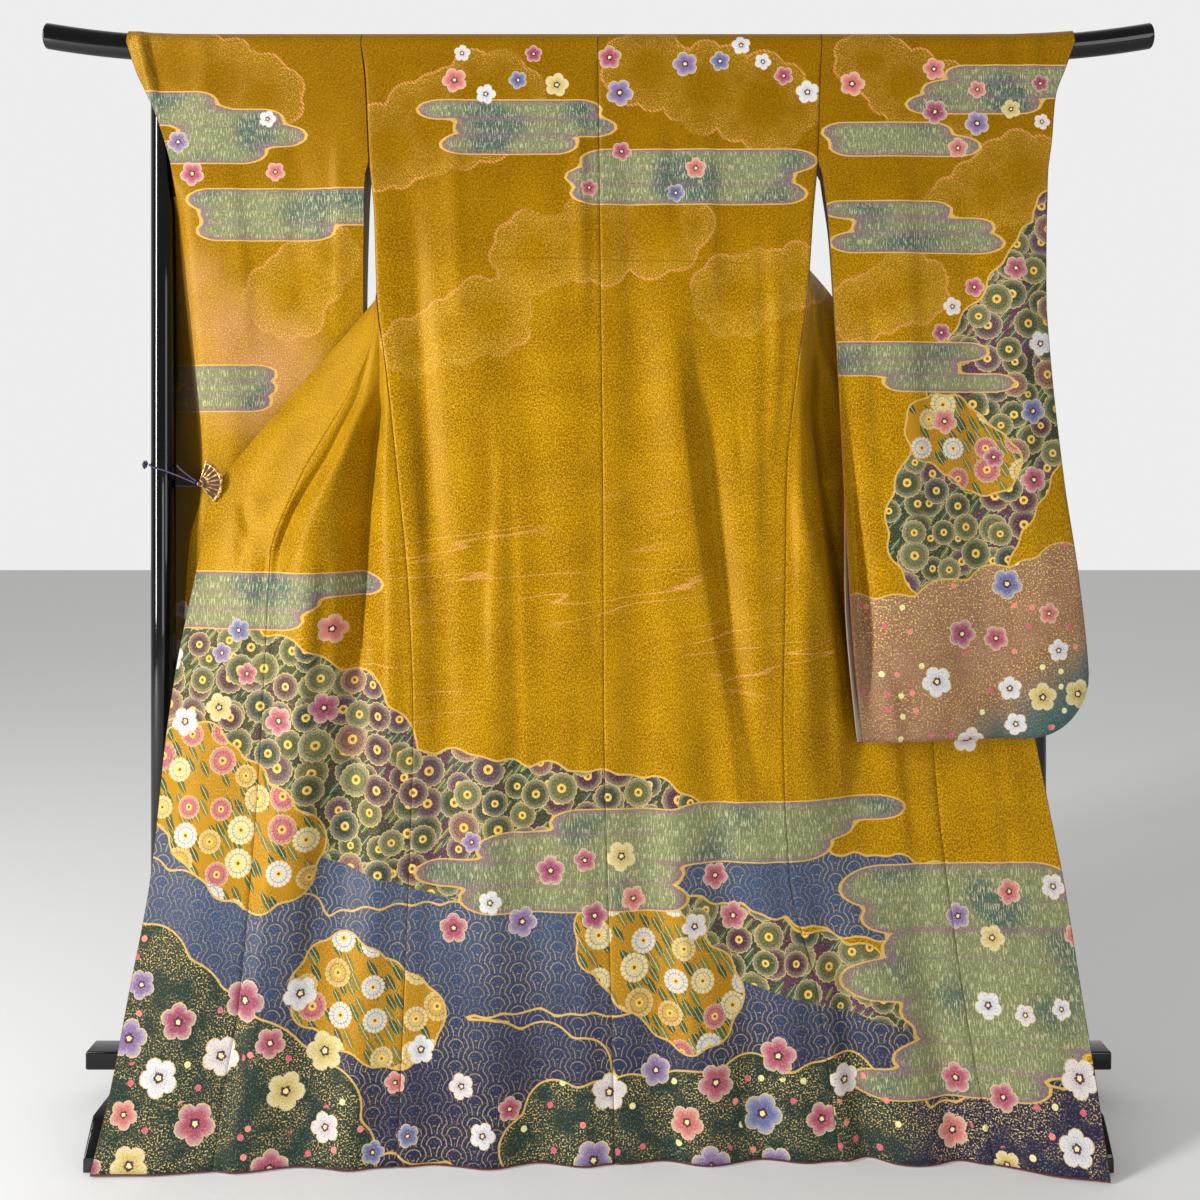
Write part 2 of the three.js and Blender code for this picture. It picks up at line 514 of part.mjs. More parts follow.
// From the middle of the okumi to the middle of the folded collar, looser where the front bunches up.
const collarBehind = (z) => CLOTH + 1.2 + 1.5 * smooth(z, 990, 1050);
const NECK_STATIONS = [       // x of the sewn and the free edge as shares of the neck's half width
  { sewn: 0.98, free: 0.60, sewnHeight: 0, freeHeight: -28 },
  { sewn: 0.98, free: 0.57, sewnHeight: 8, freeHeight: -25 },
  { sewn: 0.98, free: 0.54, sewnHeight: 16, freeHeight: -22 },
  { sewn: 0.98, free: 0.50, sewnHeight: 24, freeHeight: -20 },
  { sewn: 0.66, free: 0.34, sewnHeight: 24, freeHeight: -20 },
  { sewn: 0.33, free: 0.17, sewnHeight: 24, freeHeight: -20 },
];

// Below the turn the band follows the okumi's inner face; above it, it swings out to stand beyond the edge.
function collarAlongFront(wall, side, folds, z) {
  const lineName = z > OKUMI_TOP ? 'seam' : 'edge';
  const sewn = frontLine(side, lineName, z);
  const outward = frontOutward(side, z);
  if (z <= SIDE_SEAM_TOP) {
    const seam = frontLine(side, 'seam', z);
    const okumiWidth = Math.hypot(seam.x - sewn.x, seam.reach - sewn.reach);
    const share = Math.min(COLLAR_WIDTH / okumiWidth, 0.9);
    return COLLAR_SHARES.map((part) => wall.add(
      okumiPoint(side, folds, share * lerp(0.02, 1, part), z).addScaledVector(outward, -collarBehind(z)),
      outward.clone().negate()));
  }
  const from = frontLine(side, 'side', z);
  const width = Math.min(COLLAR_WIDTH, 0.75 * Math.hypot(sewn.x - from.x, sewn.reach - from.reach));
  const fold = Math.PI * (1 - smooth(z, SIDE_SEAM_TOP, 1240));
  const out = acrossFront(side, z);
  const folded = (1 - Math.cos(fold)) / 2;
  const start = place(sewn.x, sewn.reach, z)
    .addScaledVector(out, SEAM_GAP * (1 - folded) + (CLOTH / 2) * Math.sin(fold))
    .addScaledVector(outward, -collarBehind(z) * folded);
  const along = out.clone().multiplyScalar(Math.cos(fold)).addScaledVector(outward, -Math.sin(fold));
  const faces = outward.clone().multiplyScalar(Math.cos(fold)).addScaledVector(out, Math.sin(fold));
  return COLLAR_SHARES.map((share) => wall.add(start.clone().addScaledVector(along, share * width), faces));
}

function collarAtNeck(wall, halfWidth, station, sign) {
  return COLLAR_SHARES.map((share) => {
    const x = sign * halfWidth * lerp(station.sewn, station.free, share);
    const height = lerp(station.sewnHeight, station.freeHeight, share);
    if (height <= 0) return wall.add(place(x, -OVER_RAIL, RAIL_HEIGHT + height), new THREE.Vector3(0, 1, 0));
    const { point, outward } = roundTheRail(x, 180 - THREE.MathUtils.radToDeg(height / OVER_RAIL));
    return wall.add(point, outward);
  });
}

function collar() {
  const wall = new Wall();
  const frontRows = [...LOWER_ROWS.filter((z) => z >= MIDDLE_BAR.height), ...[...TURN_ROWS].reverse()];
  const halfWidth = (side) => Math.abs(backPoint(side, [], NECK_HALF_WIDTH, RAIL_HEIGHT).x);
  wall.join([
    ...frontRows.map((z) => collarAlongFront(wall, LEFT, FOLDS.okumiLeft, z)),
    ...NECK_STATIONS.map((station) => collarAtNeck(wall, halfWidth(LEFT), station, LEFT.sign)),
    collarAtNeck(wall, 0, NECK_STATIONS.at(-1), 0),
    ...[...NECK_STATIONS].reverse().map((station) => collarAtNeck(wall, halfWidth(RIGHT), station, RIGHT.sign)),
    ...[...frontRows].reverse().map((z) => collarAlongFront(wall, RIGHT, FOLDS.okumiRight, z)),
  ]);
  addPiece('collar', wall.geometry(), materials.silk);
}
collar();

// ---- Hem roll: the lining's padded edge, which shows as a thin line under the hem ----
const HEM_ROLL = { thick: 3, top: HEM_HEIGHT - SEAM_GAP, bottom: 2.2 };

function hemRoll(name, side, folds) {
  const shares = (columns) => [...Array(columns + 1).keys()].map((i) => i / columns);
  const points = [
    ...shares(OKUMI_COLUMNS).map((share) => okumiPoint(side, folds.okumi, share, HEM_HEIGHT)),
    ...shares(BODY_COLUMNS - NECK_COLUMNS).slice(1)
      .map((share) => frontPoint(side, folds.front, share, HEM_HEIGHT)),
    ...[...Array(BODY_COLUMNS).keys()].reverse()
      .map((column) => backPoint(side, folds.back, bodyShare(column), HEM_HEIGHT)),
  ];
  const wall = new Wall(HEM_ROLL.thick);
  const rowAt = (z) => points.map((p) => wall.add(new THREE.Vector3(p.x, p.y, z), TOWARDS_VIEWER));
  wall.join([rowAt(HEM_ROLL.top), rowAt(HEM_ROLL.bottom)]);
  addPiece(name, wall.geometry(), materials.hemLining);
}
hemRoll('hem_roll_left', LEFT, { okumi: FOLDS.okumiLeft, front: FOLDS.frontLeft, back: FOLDS.backLeft });
hemRoll('hem_roll_right', RIGHT, { okumi: FOLDS.okumiRight, front: FOLDS.frontRight, back: FOLDS.backRight });

// ---- Kimono stand: two feet, two posts, a rail whose ends sweep up, and two cross bars ----
function topRail() {
  const stations = [...[...RAIL_SWEEP].reverse().map((row) => -row.x), ...RAIL_SWEEP.map((row) => row.x)];
  const rail = new THREE.CylinderGeometry(RAIL_RADIUS, RAIL_RADIUS, 1, 20, stations.length - 1);
  rail.rotateZ(-Math.PI / 2);
  const position = rail.attributes.position;
  for (let i = 0; i < position.count; i++) {
    const x = stations[Math.round((position.getX(i) + 0.5) * (stations.length - 1))];
    position.setX(i, x);
    position.setZ(i, position.getZ(i) + railCentre(x));
  }
  addPiece('top_rail', rail, materials.lacquer);
}
topRail();

function stick(name, radius, length, centre) {
  const geometry = new THREE.CylinderGeometry(radius, radius, length, 20).rotateX(Math.PI / 2);
  addPiece(name, geometry, materials.lacquer).position.copy(centre);
}

function slab(name, length, deep, tall, height) {
  addPiece(name, new THREE.BoxGeometry(length, deep, tall), materials.lacquer).position.z = height;
}

// A foot's outline from toe to toe, with an arch below and a notch that takes the lower bar.
function footOutline() {
  const { halfLength, height, toe, arch, pad } = FOOT;
  const notch = LOWER_BAR.depth / 2 + SEAM_GAP;
  const outline = new THREE.Shape();
  outline.moveTo(-halfLength, 0);
  outline.lineTo(-halfLength + pad, 0);
  outline.quadraticCurveTo(-halfLength + pad + 25, arch, 0, arch);
  outline.quadraticCurveTo(halfLength - pad - 25, arch, halfLength - pad, 0);
  outline.lineTo(halfLength, 0);
  outline.lineTo(halfLength, toe);
  outline.quadraticCurveTo(halfLength - 10, toe + 14, halfLength - 32, height);
  outline.lineTo(notch, height);
  outline.lineTo(notch, LOWER_BAR.bottom - SEAM_GAP);
  outline.lineTo(-notch, LOWER_BAR.bottom - SEAM_GAP);
  outline.lineTo(-notch, height);
  outline.lineTo(-halfLength + 32, height);
  outline.quadraticCurveTo(-halfLength + 10, toe + 14, -halfLength, toe);
  return outline;
}

for (const [name, sign] of [['left', -1], ['right', 1]]) {
  const x = (sign * POST_SPACING) / 2;
  const postFoot = LOWER_BAR.top + SEAM_GAP;
  const postTop = railCentre(POST_SPACING / 2 - POST_RADIUS) - RAIL_RADIUS - SEAM_GAP;
  const foot = new THREE.ExtrudeGeometry(footOutline(), { depth: FOOT.width, bevelEnabled: false, curveSegments: 5 });
  foot.rotateX(Math.PI / 2).rotateZ(Math.PI / 2).translate(-FOOT.width / 2, 0, 0);
  addPiece(`foot_${name}`, foot, materials.lacquer).position.x = x;
  stick(`post_${name}`, POST_RADIUS, postTop - postFoot, new THREE.Vector3(x, 0, (postTop + postFoot) / 2));
}
const barHeight = (LOWER_BAR.bottom + LOWER_BAR.top) / 2;
slab('lower_bar', 2 * LOWER_BAR.halfLength, LOWER_BAR.depth, LOWER_BAR.top - LOWER_BAR.bottom, barHeight);
const betweenPosts = POST_SPACING - 2 * (POST_RADIUS + SEAM_GAP);
slab('middle_bar', betweenPosts, MIDDLE_BAR.deep, MIDDLE_BAR.thick, MIDDLE_BAR.height);

// ---- Fan clip: a brass openwork fan on a spring clip that grips the left front's edge ----
const FAN = {
  x: -551.5, z: 860, reach: 45, thick: 1.4, radius: 33, slotsFrom: 14, slotsTo: 29,
  ribs: 9, ribWidth: 1.9, lowest: -48, highest: 72,
};
const SPRING = {
  front: 44.7, back: 30.6, frontTip: 41.95, backTip: 32.1, sheet: 0.9, tip: -519, bend: -548, height: 8,
};

function fanPoint(radius, degrees) {
  const angle = THREE.MathUtils.degToRad(degrees);
  return new THREE.Vector2(radius * Math.cos(angle), radius * Math.sin(angle));
}

function fanClip() {
  const step = (FAN.highest - FAN.lowest) / (FAN.ribs - 1);
  const corners = [fanPoint(4.2, 120), fanPoint(4.2, 180), fanPoint(4.2, 240)];
  for (let k = 0; k < FAN.ribs; k++) {
    corners.push(fanPoint(FAN.radius - 1.5, FAN.lowest + k * step));
    if (k + 1 < FAN.ribs) corners.push(fanPoint(FAN.radius, FAN.lowest + (k + 0.5) * step));
  }
  const fan = new THREE.Shape(corners);
  for (let k = 0; k + 1 < FAN.ribs; k++) {
    const [low, high] = [FAN.lowest + k * step, FAN.lowest + (k + 1) * step];
    const inset = (radius) => THREE.MathUtils.radToDeg(FAN.ribWidth / 2 / radius);
    fan.holes.push(new THREE.Path([
      fanPoint(FAN.slotsFrom, low + inset(FAN.slotsFrom)), fanPoint(FAN.slotsFrom, high - inset(FAN.slotsFrom)),
      fanPoint(FAN.slotsTo, high - inset(FAN.slotsTo)), fanPoint(FAN.slotsTo, low + inset(FAN.slotsTo)),
    ]));
  }
  const plate = new THREE.ExtrudeGeometry(fan, { depth: FAN.thick, bevelEnabled: false }).rotateX(Math.PI / 2);
  addPiece('fan_clip', plate, materials.brass).position.set(FAN.x, -FAN.reach, FAN.z);
  const rivet = new THREE.CylinderGeometry(2.6, 3.2, 2.2, 12);
  addPiece('fan_rivet', rivet, materials.brass)
    .position.set(FAN.x, -(FAN.reach + FAN.thick + SEAM_GAP + 1.1), FAN.z);
}
fanClip();

// Seen from above, the spring is a hairpin round the cloth's edge.
function springClip() {
  const { front, back, frontTip, backTip, sheet, tip, bend, height } = SPRING;
  const hairpin = new THREE.Shape([
    [tip, frontTip], [bend, front], [bend - 5, front - 4], [bend - 5, back + 4], [bend, back], [tip, backTip],
    [tip, backTip + sheet], [bend, back + sheet], [bend - 5 + sheet, back + 4], [bend - 5 + sheet, front - 4],
    [bend, front - sheet], [tip, frontTip - sheet],
  ].map(([x, reach]) => new THREE.Vector2(x, reach)));
  const spring = new THREE.ExtrudeGeometry(hairpin, { depth: height, bevelEnabled: false });
  spring.rotateX(Math.PI).translate(0, 0, FAN.z + height / 2);
  addPiece('clip_spring', spring, materials.brass);
}
springClip();

// ---- Tie cord: from the fan's rivet round the left post and back, with a small knot outside the post ----
const CORD_DIAMETER = 2;
const CORD_ROUTE = [
  [-556.4, 46.5, 860.6], [-574, 37.5, 867.5], [-594, 28, 874], [-609, 21.5, 878.8], [-622, 18.8, 882],
  [-630.5, 13.4, 884.5], [-635, 3.5, 886.3], [-634.2, -5.6, 887.2], [-628.7, -14.5, 887.6], [-619, -19.6, 887.6],
  [-608.8, -18.8, 887.4], [-600, -12.6, 887], [-596, -2, 886.3], [-593.5, 8, 884.5], [-585, 20, 879.5],
  [-572, 33, 872.5], [-561, 42.5, 866.5], [-555.2, 45.5, 863.4],
];
const KNOT = { x: -640.6, reach: 4, z: 886.2, radius: 4.6 };

function tieCord() {
  const route = new THREE.CatmullRomCurve3(CORD_ROUTE.map(([x, reach, z]) => place(x, reach, z)));
  const section = new THREE.Shape();
  section.absarc(0, 0, CORD_DIAMETER / 2, 0, 2 * Math.PI);
  const cord = new THREE.ExtrudeGeometry(section, { steps: 44, curveSegments: 4, extrudePath: route });
  addPiece('tie_cord', cord, materials.cord);
  const knot = new THREE.SphereGeometry(KNOT.radius, 10, 7);
  addPiece('cord_knot', knot, materials.cord).position.copy(place(KNOT.x, KNOT.reach, KNOT.z));
}
tieCord();

// ---- The part stands with the middle of its box over the origin ----
const box = new THREE.Box3().setFromObject(kimono);
const middle = box.getCenter(new THREE.Vector3());
kimono.position.set(-middle.x, -middle.y, -box.min.z);

export default kimono;
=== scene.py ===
"""A furisode, the long-sleeved silk kimono, opened over a black lacquered kimono stand."""

import json
import math

import bmesh
import bpy
import numpy as np
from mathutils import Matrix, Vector

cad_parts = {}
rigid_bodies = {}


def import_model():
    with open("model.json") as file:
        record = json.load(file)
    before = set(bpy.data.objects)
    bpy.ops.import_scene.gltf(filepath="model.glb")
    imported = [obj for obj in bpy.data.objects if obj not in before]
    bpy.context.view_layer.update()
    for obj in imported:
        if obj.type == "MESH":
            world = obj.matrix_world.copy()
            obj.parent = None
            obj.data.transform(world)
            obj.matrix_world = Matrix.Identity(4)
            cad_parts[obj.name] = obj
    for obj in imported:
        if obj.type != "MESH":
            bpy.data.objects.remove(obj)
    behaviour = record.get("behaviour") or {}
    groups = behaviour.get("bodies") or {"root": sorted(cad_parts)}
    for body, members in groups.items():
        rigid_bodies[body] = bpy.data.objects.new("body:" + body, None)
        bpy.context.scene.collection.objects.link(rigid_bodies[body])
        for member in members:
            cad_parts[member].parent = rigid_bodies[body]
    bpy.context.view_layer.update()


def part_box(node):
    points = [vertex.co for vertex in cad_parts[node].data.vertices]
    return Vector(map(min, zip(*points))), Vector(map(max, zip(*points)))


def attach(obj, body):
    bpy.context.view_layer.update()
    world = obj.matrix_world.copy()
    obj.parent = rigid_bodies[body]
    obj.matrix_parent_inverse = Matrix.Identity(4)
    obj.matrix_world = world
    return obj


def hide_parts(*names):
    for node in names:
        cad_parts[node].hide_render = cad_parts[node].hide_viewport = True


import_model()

# ---- Camera, floor and light ----
# A level camera straight in front of the kimono's back, a pale floor and backdrop, and soft light from
# a tall lamp at the left and two weaker ones in front. Sizes from here on are in millimetres.
MM = 0.001
posts_low, posts_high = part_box("post_left")
POSTS_Y = (posts_low.y + posts_high.y) / 2
CAMERA_DISTANCE = 1.9
CAMERA_HEIGHT = 0.893
VIEW_WIDTH = 1.698  # width of the picture in the plane of the posts
AXIS_RIGHT, AXIS_UP = -0.00125, 0.1167  # where the camera's axis meets the picture, from its middle


def spot(x, reach, z):
    """A point in metres from millimetres: reach is how far it lies in front of the posts."""
    return Vector((x * MM, POSTS_Y - reach * MM, z * MM))


camera = bpy.data.objects.new("camera", bpy.data.cameras.new("camera"))
bpy.context.collection.objects.link(camera)
camera.location = (0, POSTS_Y - CAMERA_DISTANCE, CAMERA_HEIGHT)
camera.rotation_euler = (math.radians(90), 0, 0)
camera.data.sensor_width = 36
camera.data.lens = 36 * CAMERA_DISTANCE / VIEW_WIDTH
camera.data.shift_x, camera.data.shift_y = -AXIS_RIGHT, -AXIS_UP
bpy.context.scene.camera = camera

floor_mesh = bpy.data.meshes.new("floor")
floor_mesh.from_pydata([(-9, -9, 0), (9, -9, 0), (9, 9, 0), (-9, 9, 0)], [], [(0, 1, 2, 3)])
floor = bpy.data.objects.new("floor", floor_mesh)
bpy.context.collection.objects.link(floor)
floor_paint = bpy.data.materials.new("floor_paint")
floor_paint.use_nodes = True
floor_shader = floor_paint.node_tree.nodes["Principled BSDF"]
floor_shader.inputs["Base Color"].default_value = (0.86, 0.86, 0.85, 1)
floor_shader.inputs["Roughness"].default_value = 0.9
floor_mesh.materials.append(floor_paint)

world = bpy.data.worlds.new("studio")
bpy.context.scene.world = world
world.use_nodes = True
backdrop = world.node_tree.nodes["Background"]
backdrop.inputs["Color"].default_value = (1, 1, 1, 1)
# the light comes from all round, brighter from behind the kimono than from in front
towards = world.node_tree.nodes.new("ShaderNodeSeparateXYZ")
brighter_behind = world.node_tree.nodes.new("ShaderNodeMapRange")
for key, value in {"From Min": -0.1, "From Max": 0.7, "To Min": 0.30, "To Max": 0.85}.items():
    brighter_behind.inputs[key].default_value = value
around = world.node_tree.nodes.new("ShaderNodeTexCoord")
world.node_tree.links.new(around.outputs["Generated"], towards.inputs[0])
world.node_tree.links.new(towards.outputs["Y"], brighter_behind.inputs["Value"])
world.node_tree.links.new(brighter_behind.outputs["Result"], backdrop.inputs["Strength"])
bpy.context.scene.view_settings.view_transform = "Standard"

LAMPS = [  # place, where it points, width and height in metres, power
    ((-3.0, -1.9, 1.45), (0, 0, 0.8), 0.36, 2.5, 160),
    ((2.4, -3.2, 1.3), (0, 0, 0.7), 1.2, 1.8, 24),
    ((0.3, -3.4, 0.5), (0, 0, 0.4), 1.0, 0.8, 12),
]
for number, (place, target, width, height, power) in enumerate(LAMPS):
    lamp = bpy.data.objects.new(f"lamp_{number}", bpy.data.lights.new(f"lamp_{number}", "AREA"))
    bpy.context.collection.objects.link(lamp)
    lamp.data.shape, lamp.data.size, lamp.data.size_y, lamp.data.energy = "RECTANGLE", width, height, power
    lamp.location = place
    lamp.rotation_euler = (Vector(target) - Vector(place)).to_track_quat("-Z", "Y").to_euler()


# ---- Tie cord and knot ----
# A limp indigo cord, 2 mm thick, tied from the fan clip round the left post and back, with a small
# fluffy knot on the outer side of the post.
CORD_DIAMETER = 2.0
CORD_ROUTE = [
    (-556.4, 46.5, 860.6), (-574, 37.5, 867.5), (-594, 28, 874), (-609, 21.5, 878.8), (-622, 18.8, 882),
    (-630.5, 13.4, 884.5), (-635, 3.5, 886.3), (-634.2, -5.6, 887.2), (-628.7, -14.5, 887.6), (-619, -19.6, 887.6),
    (-608.8, -18.8, 887.4), (-600, -12.6, 887), (-596, -2, 886.3), (-593.5, 8, 884.5), (-585, 20, 879.5),
    (-572, 33, 872.5), (-561, 42.5, 866.5), (-555.2, 45.5, 863.4),
]
KNOT_CENTRE, KNOT_RADIUS = (-640.6, 4, 886.2), 4.6


def ink(*colour):
    """A colour as the eye sees it, 0 to 255, turned into the linear light that the shader takes."""
    shares = [c / 255 for c in colour]
    return (*[c / 12.92 if c < 0.0404 else ((c + 0.055) / 1.055) ** 2.4 for c in shares], 1)


class Field:
    """A number or colour that varies over a surface, worked out by the nodes of its finish."""

    def __init__(self, finish, socket):
        self.finish, self.socket = finish, socket

    def __add__(self, other):
        return self.finish.math("ADD", self, other)

    def __sub__(self, other):
        return self.finish.math("SUBTRACT", self, other)

    def __rsub__(self, other):
        return self.finish.math("SUBTRACT", other, self)

    def __mul__(self, other):
        return self.finish.math("MULTIPLY", self, other)

    def __truediv__(self, other):
        return self.finish.math("DIVIDE", self, other)

    def __abs__(self):
        return self.finish.math("ABSOLUTE", self)

    __radd__, __rmul__ = __add__, __mul__


class Finish:
    """A material whose nodes are written as formulas."""

    def __init__(self, name):
        self.material = bpy.data.materials.new(name)
        self.material.use_nodes = True
        self.tree = self.material.node_tree
        self.shader = self.tree.nodes["Principled BSDF"]

    def node(self, kind, inputs=(), **settings):
        made = self.tree.nodes.new(kind)
        for key, value in settings.items():
            setattr(made, key, value)
        for key, value in dict(inputs).items():
            self.feed(made.inputs[key], value)
        return made

    def feed(self, socket, value):
        if isinstance(value, Field):
            self.tree.links.new(value.socket, socket)
        else:
            socket.default_value = value

    def math(self, operation, *values):
        made = self.node("ShaderNodeMath", enumerate(values), operation=operation)
        return Field(self, made.outputs[0])

    def step(self, value, low, high):
        """0 below low and 1 above high, soft between them; high may be the lower one."""
        made = self.node("ShaderNodeMapRange", {"Value": value, "From Min": low, "From Max": high},
                         interpolation_type="SMOOTHSTEP")
        return Field(self, made.outputs["Result"])

    def blend(self, below, above, share):
        made = self.node("ShaderNodeMix", {0: share, 6: below, 7: above}, data_type="RGBA")
        return Field(self, made.outputs[2])

    def level(self, low, high, share):
        return (high - low) * share + low

    def far(self, dx, dz):
        return self.math("SQRT", dx * dx + dz * dz)

    def greatest(self, *values):
        total = values[0]
        for other in values[1:]:
            total = self.math("MAXIMUM", total, other)
        return total

    def solid(self):
        """The place in the piece's own space, in metres."""
        return Field(self, self.node("ShaderNodeTexCoord").outputs["Object"])

    def split(self, vector, count=3):
        made = self.node("ShaderNodeSeparateXYZ", {0: vector})
        return [Field(self, made.outputs[k]) for k in range(count)]

    def sheet_map(self, name):
        return self.split(Field(self, self.node("ShaderNodeUVMap", uv_map=name).outputs[0]), 2)

    def given(self, name, output="Fac"):
        """What print_on gave the mesh under a name."""
        return Field(self, self.node("ShaderNodeAttribute", attribute_name=name).outputs[output])

    def flat(self, x, y):
        return Field(self, self.node("ShaderNodeCombineXYZ", {0: x, 1: y}).outputs[0])

    def noise(self, place, per_metre, detail=2.0, distortion=0.0):
        made = self.node("ShaderNodeTexNoise", {"Vector": place, "Scale": per_metre, "Detail": detail,
                                                "Distortion": distortion})
        return Field(self, made.outputs["Fac"])

    def finish(self, colour, roughness, height=None, bump=0.0, **uniform):
        """Wires what varies to the shader and sets what doesn't."""
        self.feed(self.shader.inputs["Base Color"], colour)
        self.feed(self.shader.inputs["Roughness"], roughness)
        if height is not None:
            made = self.node("ShaderNodeBump", {"Height": height, "Distance": bump, "Strength": 1.0})
            self.tree.links.new(made.outputs[0], self.shader.inputs["Normal"])
        for key, value in uniform.items():
            self.shader.inputs[key.replace("_", " ").title().replace("Ior", "IOR")].default_value = value
        return self.material


def cord_finish():
    silk = Finish("indigo_cord")
    fibres = silk.noise(silk.solid(), 900, 3)
    colour = silk.blend(ink(20, 16, 50), ink(54, 44, 96), fibres)
    return silk.finish(colour, 0.75, fibres, 0.0002, sheen_weight=0.2)


def set_in_place(name, data, node, location=(0, 0, 0)):
    """Puts a finished mesh or curve where the node that it stands for is."""
    piece = bpy.data.objects.new(name, data)
    bpy.context.collection.objects.link(piece)
    piece.location = location
    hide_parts(node)
    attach(piece, "root")
    return piece


def solid_piece(name, drawn, finish, node, location=(0, 0, 0), smooth=True):
    """Makes a piece in its finish from a drawn mesh."""
    data = bpy.data.meshes.new(name)
    drawn.to_mesh(data)
    drawn.free()
    if smooth:
        data.shade_smooth()
    data.materials.append(finish)
    return set_in_place(name, data, node, location)


indigo_cord = cord_finish()
cord_curve = bpy.data.curves.new("tie_cord_silk", "CURVE")
cord_curve.dimensions = "3D"
cord_curve.bevel_depth = CORD_DIAMETER / 2 * MM
cord_curve.bevel_resolution = 3
cord_spline = cord_curve.splines.new("NURBS")
cord_spline.points.add(len(CORD_ROUTE) - 1)
for point, place in zip(cord_spline.points, CORD_ROUTE):
    point.co = (*spot(*place), 1)
cord_spline.order_u = 3
cord_spline.use_endpoint_u = True
cord_curve.materials.append(indigo_cord)
tie_cord = set_in_place("tie_cord_silk", cord_curve, "tie_cord")

# The knot is a ball of crossing cord turns, taller than wide.
knot = bmesh.new()
bmesh.ops.create_icosphere(knot, subdivisions=4, radius=KNOT_RADIUS * MM)
for vertex in knot.verts:
    x, y, z = vertex.co / (KNOT_RADIUS * MM)
    strands = math.sin(7 * (x + 0.8 * z)) * 0.14 + math.sin(6 * (y - 0.9 * z) + 1) * 0.10
    vertex.co *= 0.86 + strands
    vertex.co.x, vertex.co.z = 0.85 * vertex.co.x + 0.15 * vertex.co.z, 1.35 * vertex.co.z
cord_knot = solid_piece("cord_knot_silk", knot, indigo_cord, "cord_knot", spot(*KNOT_CENTRE))
spot(*CORD_ROUTE[0])


# ---- Kimono stand ----
# Turned and planed hardwood under black gloss lacquer: a rail whose ends sweep up, two posts, two
# cross bars and two bow-shaped feet, pegged together.
RAIL_HEIGHT, RAIL_RADIUS = 1474, 18
RAIL_HALF, SWEEP_START, SWEEP_RISE = 780, 560, 19
END_LEAN = 0.6  # how far the rail's end faces turn with its slope
POST_X, POST_RADIUS = 615.6, 17
FOOT = {"half_length": 218, "width": 60, "height": 57, "toe": 19, "arch": 14, "pad": 60}
NOTCH_HALF, NOTCH_BOTTOM = 20.3, 37.7


def rail_rise(x):
    """How far the rail has swept up at x."""
    out = np.clip((np.abs(x) - SWEEP_START) / (RAIL_HALF - SWEEP_START), 0, None)
    return SWEEP_RISE * out**2


def lacquer_finish():
    coat = Finish("black_lacquer")
    flow, dust = coat.noise(coat.solid(), 12), coat.noise(coat.solid(), 380, 4)
    worn = coat.step(coat.noise(coat.solid(), 30, 5), 0.62, 0.78)
    colour = coat.blend(ink(3, 3, 4), ink(15, 14, 16), worn)
    roughness = coat.level(0.05, 0.10, coat.step(dust, 0.35, 0.75)) + worn * 0.06
    return coat.finish(colour, roughness, flow, 0.0001, specular_ior_level=0.42)


black_lacquer = lacquer_finish()


def stand_piece(mesh, node):
    """Lacquers a piece of the stand and puts it in the place of its node."""
    mesh.normal_update()
    solid_piece(f"{node}_lacquer", mesh, black_lacquer, node)


def bridge(mesh, loops):
    """Faces between each closed loop of points and the next."""
    for low, high in zip(loops, loops[1:]):
        for k in range(len(low)):
            mesh.faces.new((low[k], low[(k + 1) % len(low)], high[(k + 1) % len(low)], high[k]))


def lathe_along(rings, sides=64):
    """A round stick through rings of (centre, axis direction, radius), closed at both ends."""
    mesh = bmesh.new()
    loops = []
    for centre, axis, radius in rings:
        turn = Vector((0, 0, 1)).rotation_difference(Vector(axis))
        loops.append([
            mesh.verts.new(Vector(centre) + turn @ Vector((math.cos(a), math.sin(a), 0)) * radius)
            for a in (2 * math.pi * k / sides for k in range(sides))
        ])
    bridge(mesh, loops)
    mesh.faces.new(loops[0][::-1])
    mesh.faces.new(loops[-1])
    return mesh


def eased_ends(length, radius, ease):
    """Stations along a stick of a given length with rounded arrises: (distance, radius)."""
    quarter = np.linspace(0, math.pi / 2, 5)
    arc = [(ease * (1 - math.cos(a)), radius - ease + ease * math.sin(a)) for a in quarter]
    return arc + [(length - d, r) for d, r in reversed(arc)]


stations = [(-RAIL_HALF + d, r) for d, r in eased_ends(2 * RAIL_HALF, RAIL_RADIUS, 2.0)]
rings = []
for x, radius in sorted(stations + [(x, RAIL_RADIUS) for x in np.arange(-760, 761, 20)]):
    slope = (rail_rise(x + 1) - rail_rise(x - 1)) / 2
    rings.append((spot(x, 0, RAIL_HEIGHT + rail_rise(x)), (1, 0, END_LEAN * slope), radius * MM))
stand_piece(lathe_along(rings), "top_rail")
for side, sign in (("left", -1), ("right", 1)):
    low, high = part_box(f"post_{side}")
    rings = [((sign * POST_X * MM, POSTS_Y, low.z + d), (0, 0, 1), r)
             for d, r in eased_ends(high.z - low.z, POST_RADIUS * MM, 1.5 * MM)]
    stand_piece(lathe_along(rings), f"post_{side}")


def planed_bar(node, ease):
    low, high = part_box(node)
    mesh = bmesh.new()
    bmesh.ops.create_cube(mesh, size=1)
    for vertex in mesh.verts:
        vertex.co = [low[k] + (vertex.co[k] + 0.5) * (high[k] - low[k]) for k in range(3)]
    bmesh.ops.bevel(mesh, geom=mesh.edges[:], offset=ease * MM, segments=3, profile=0.5, affect="EDGES")
    stand_piece(mesh, node)


planed_bar("middle_bar", 1.5)
planed_bar("lower_bar", 3)


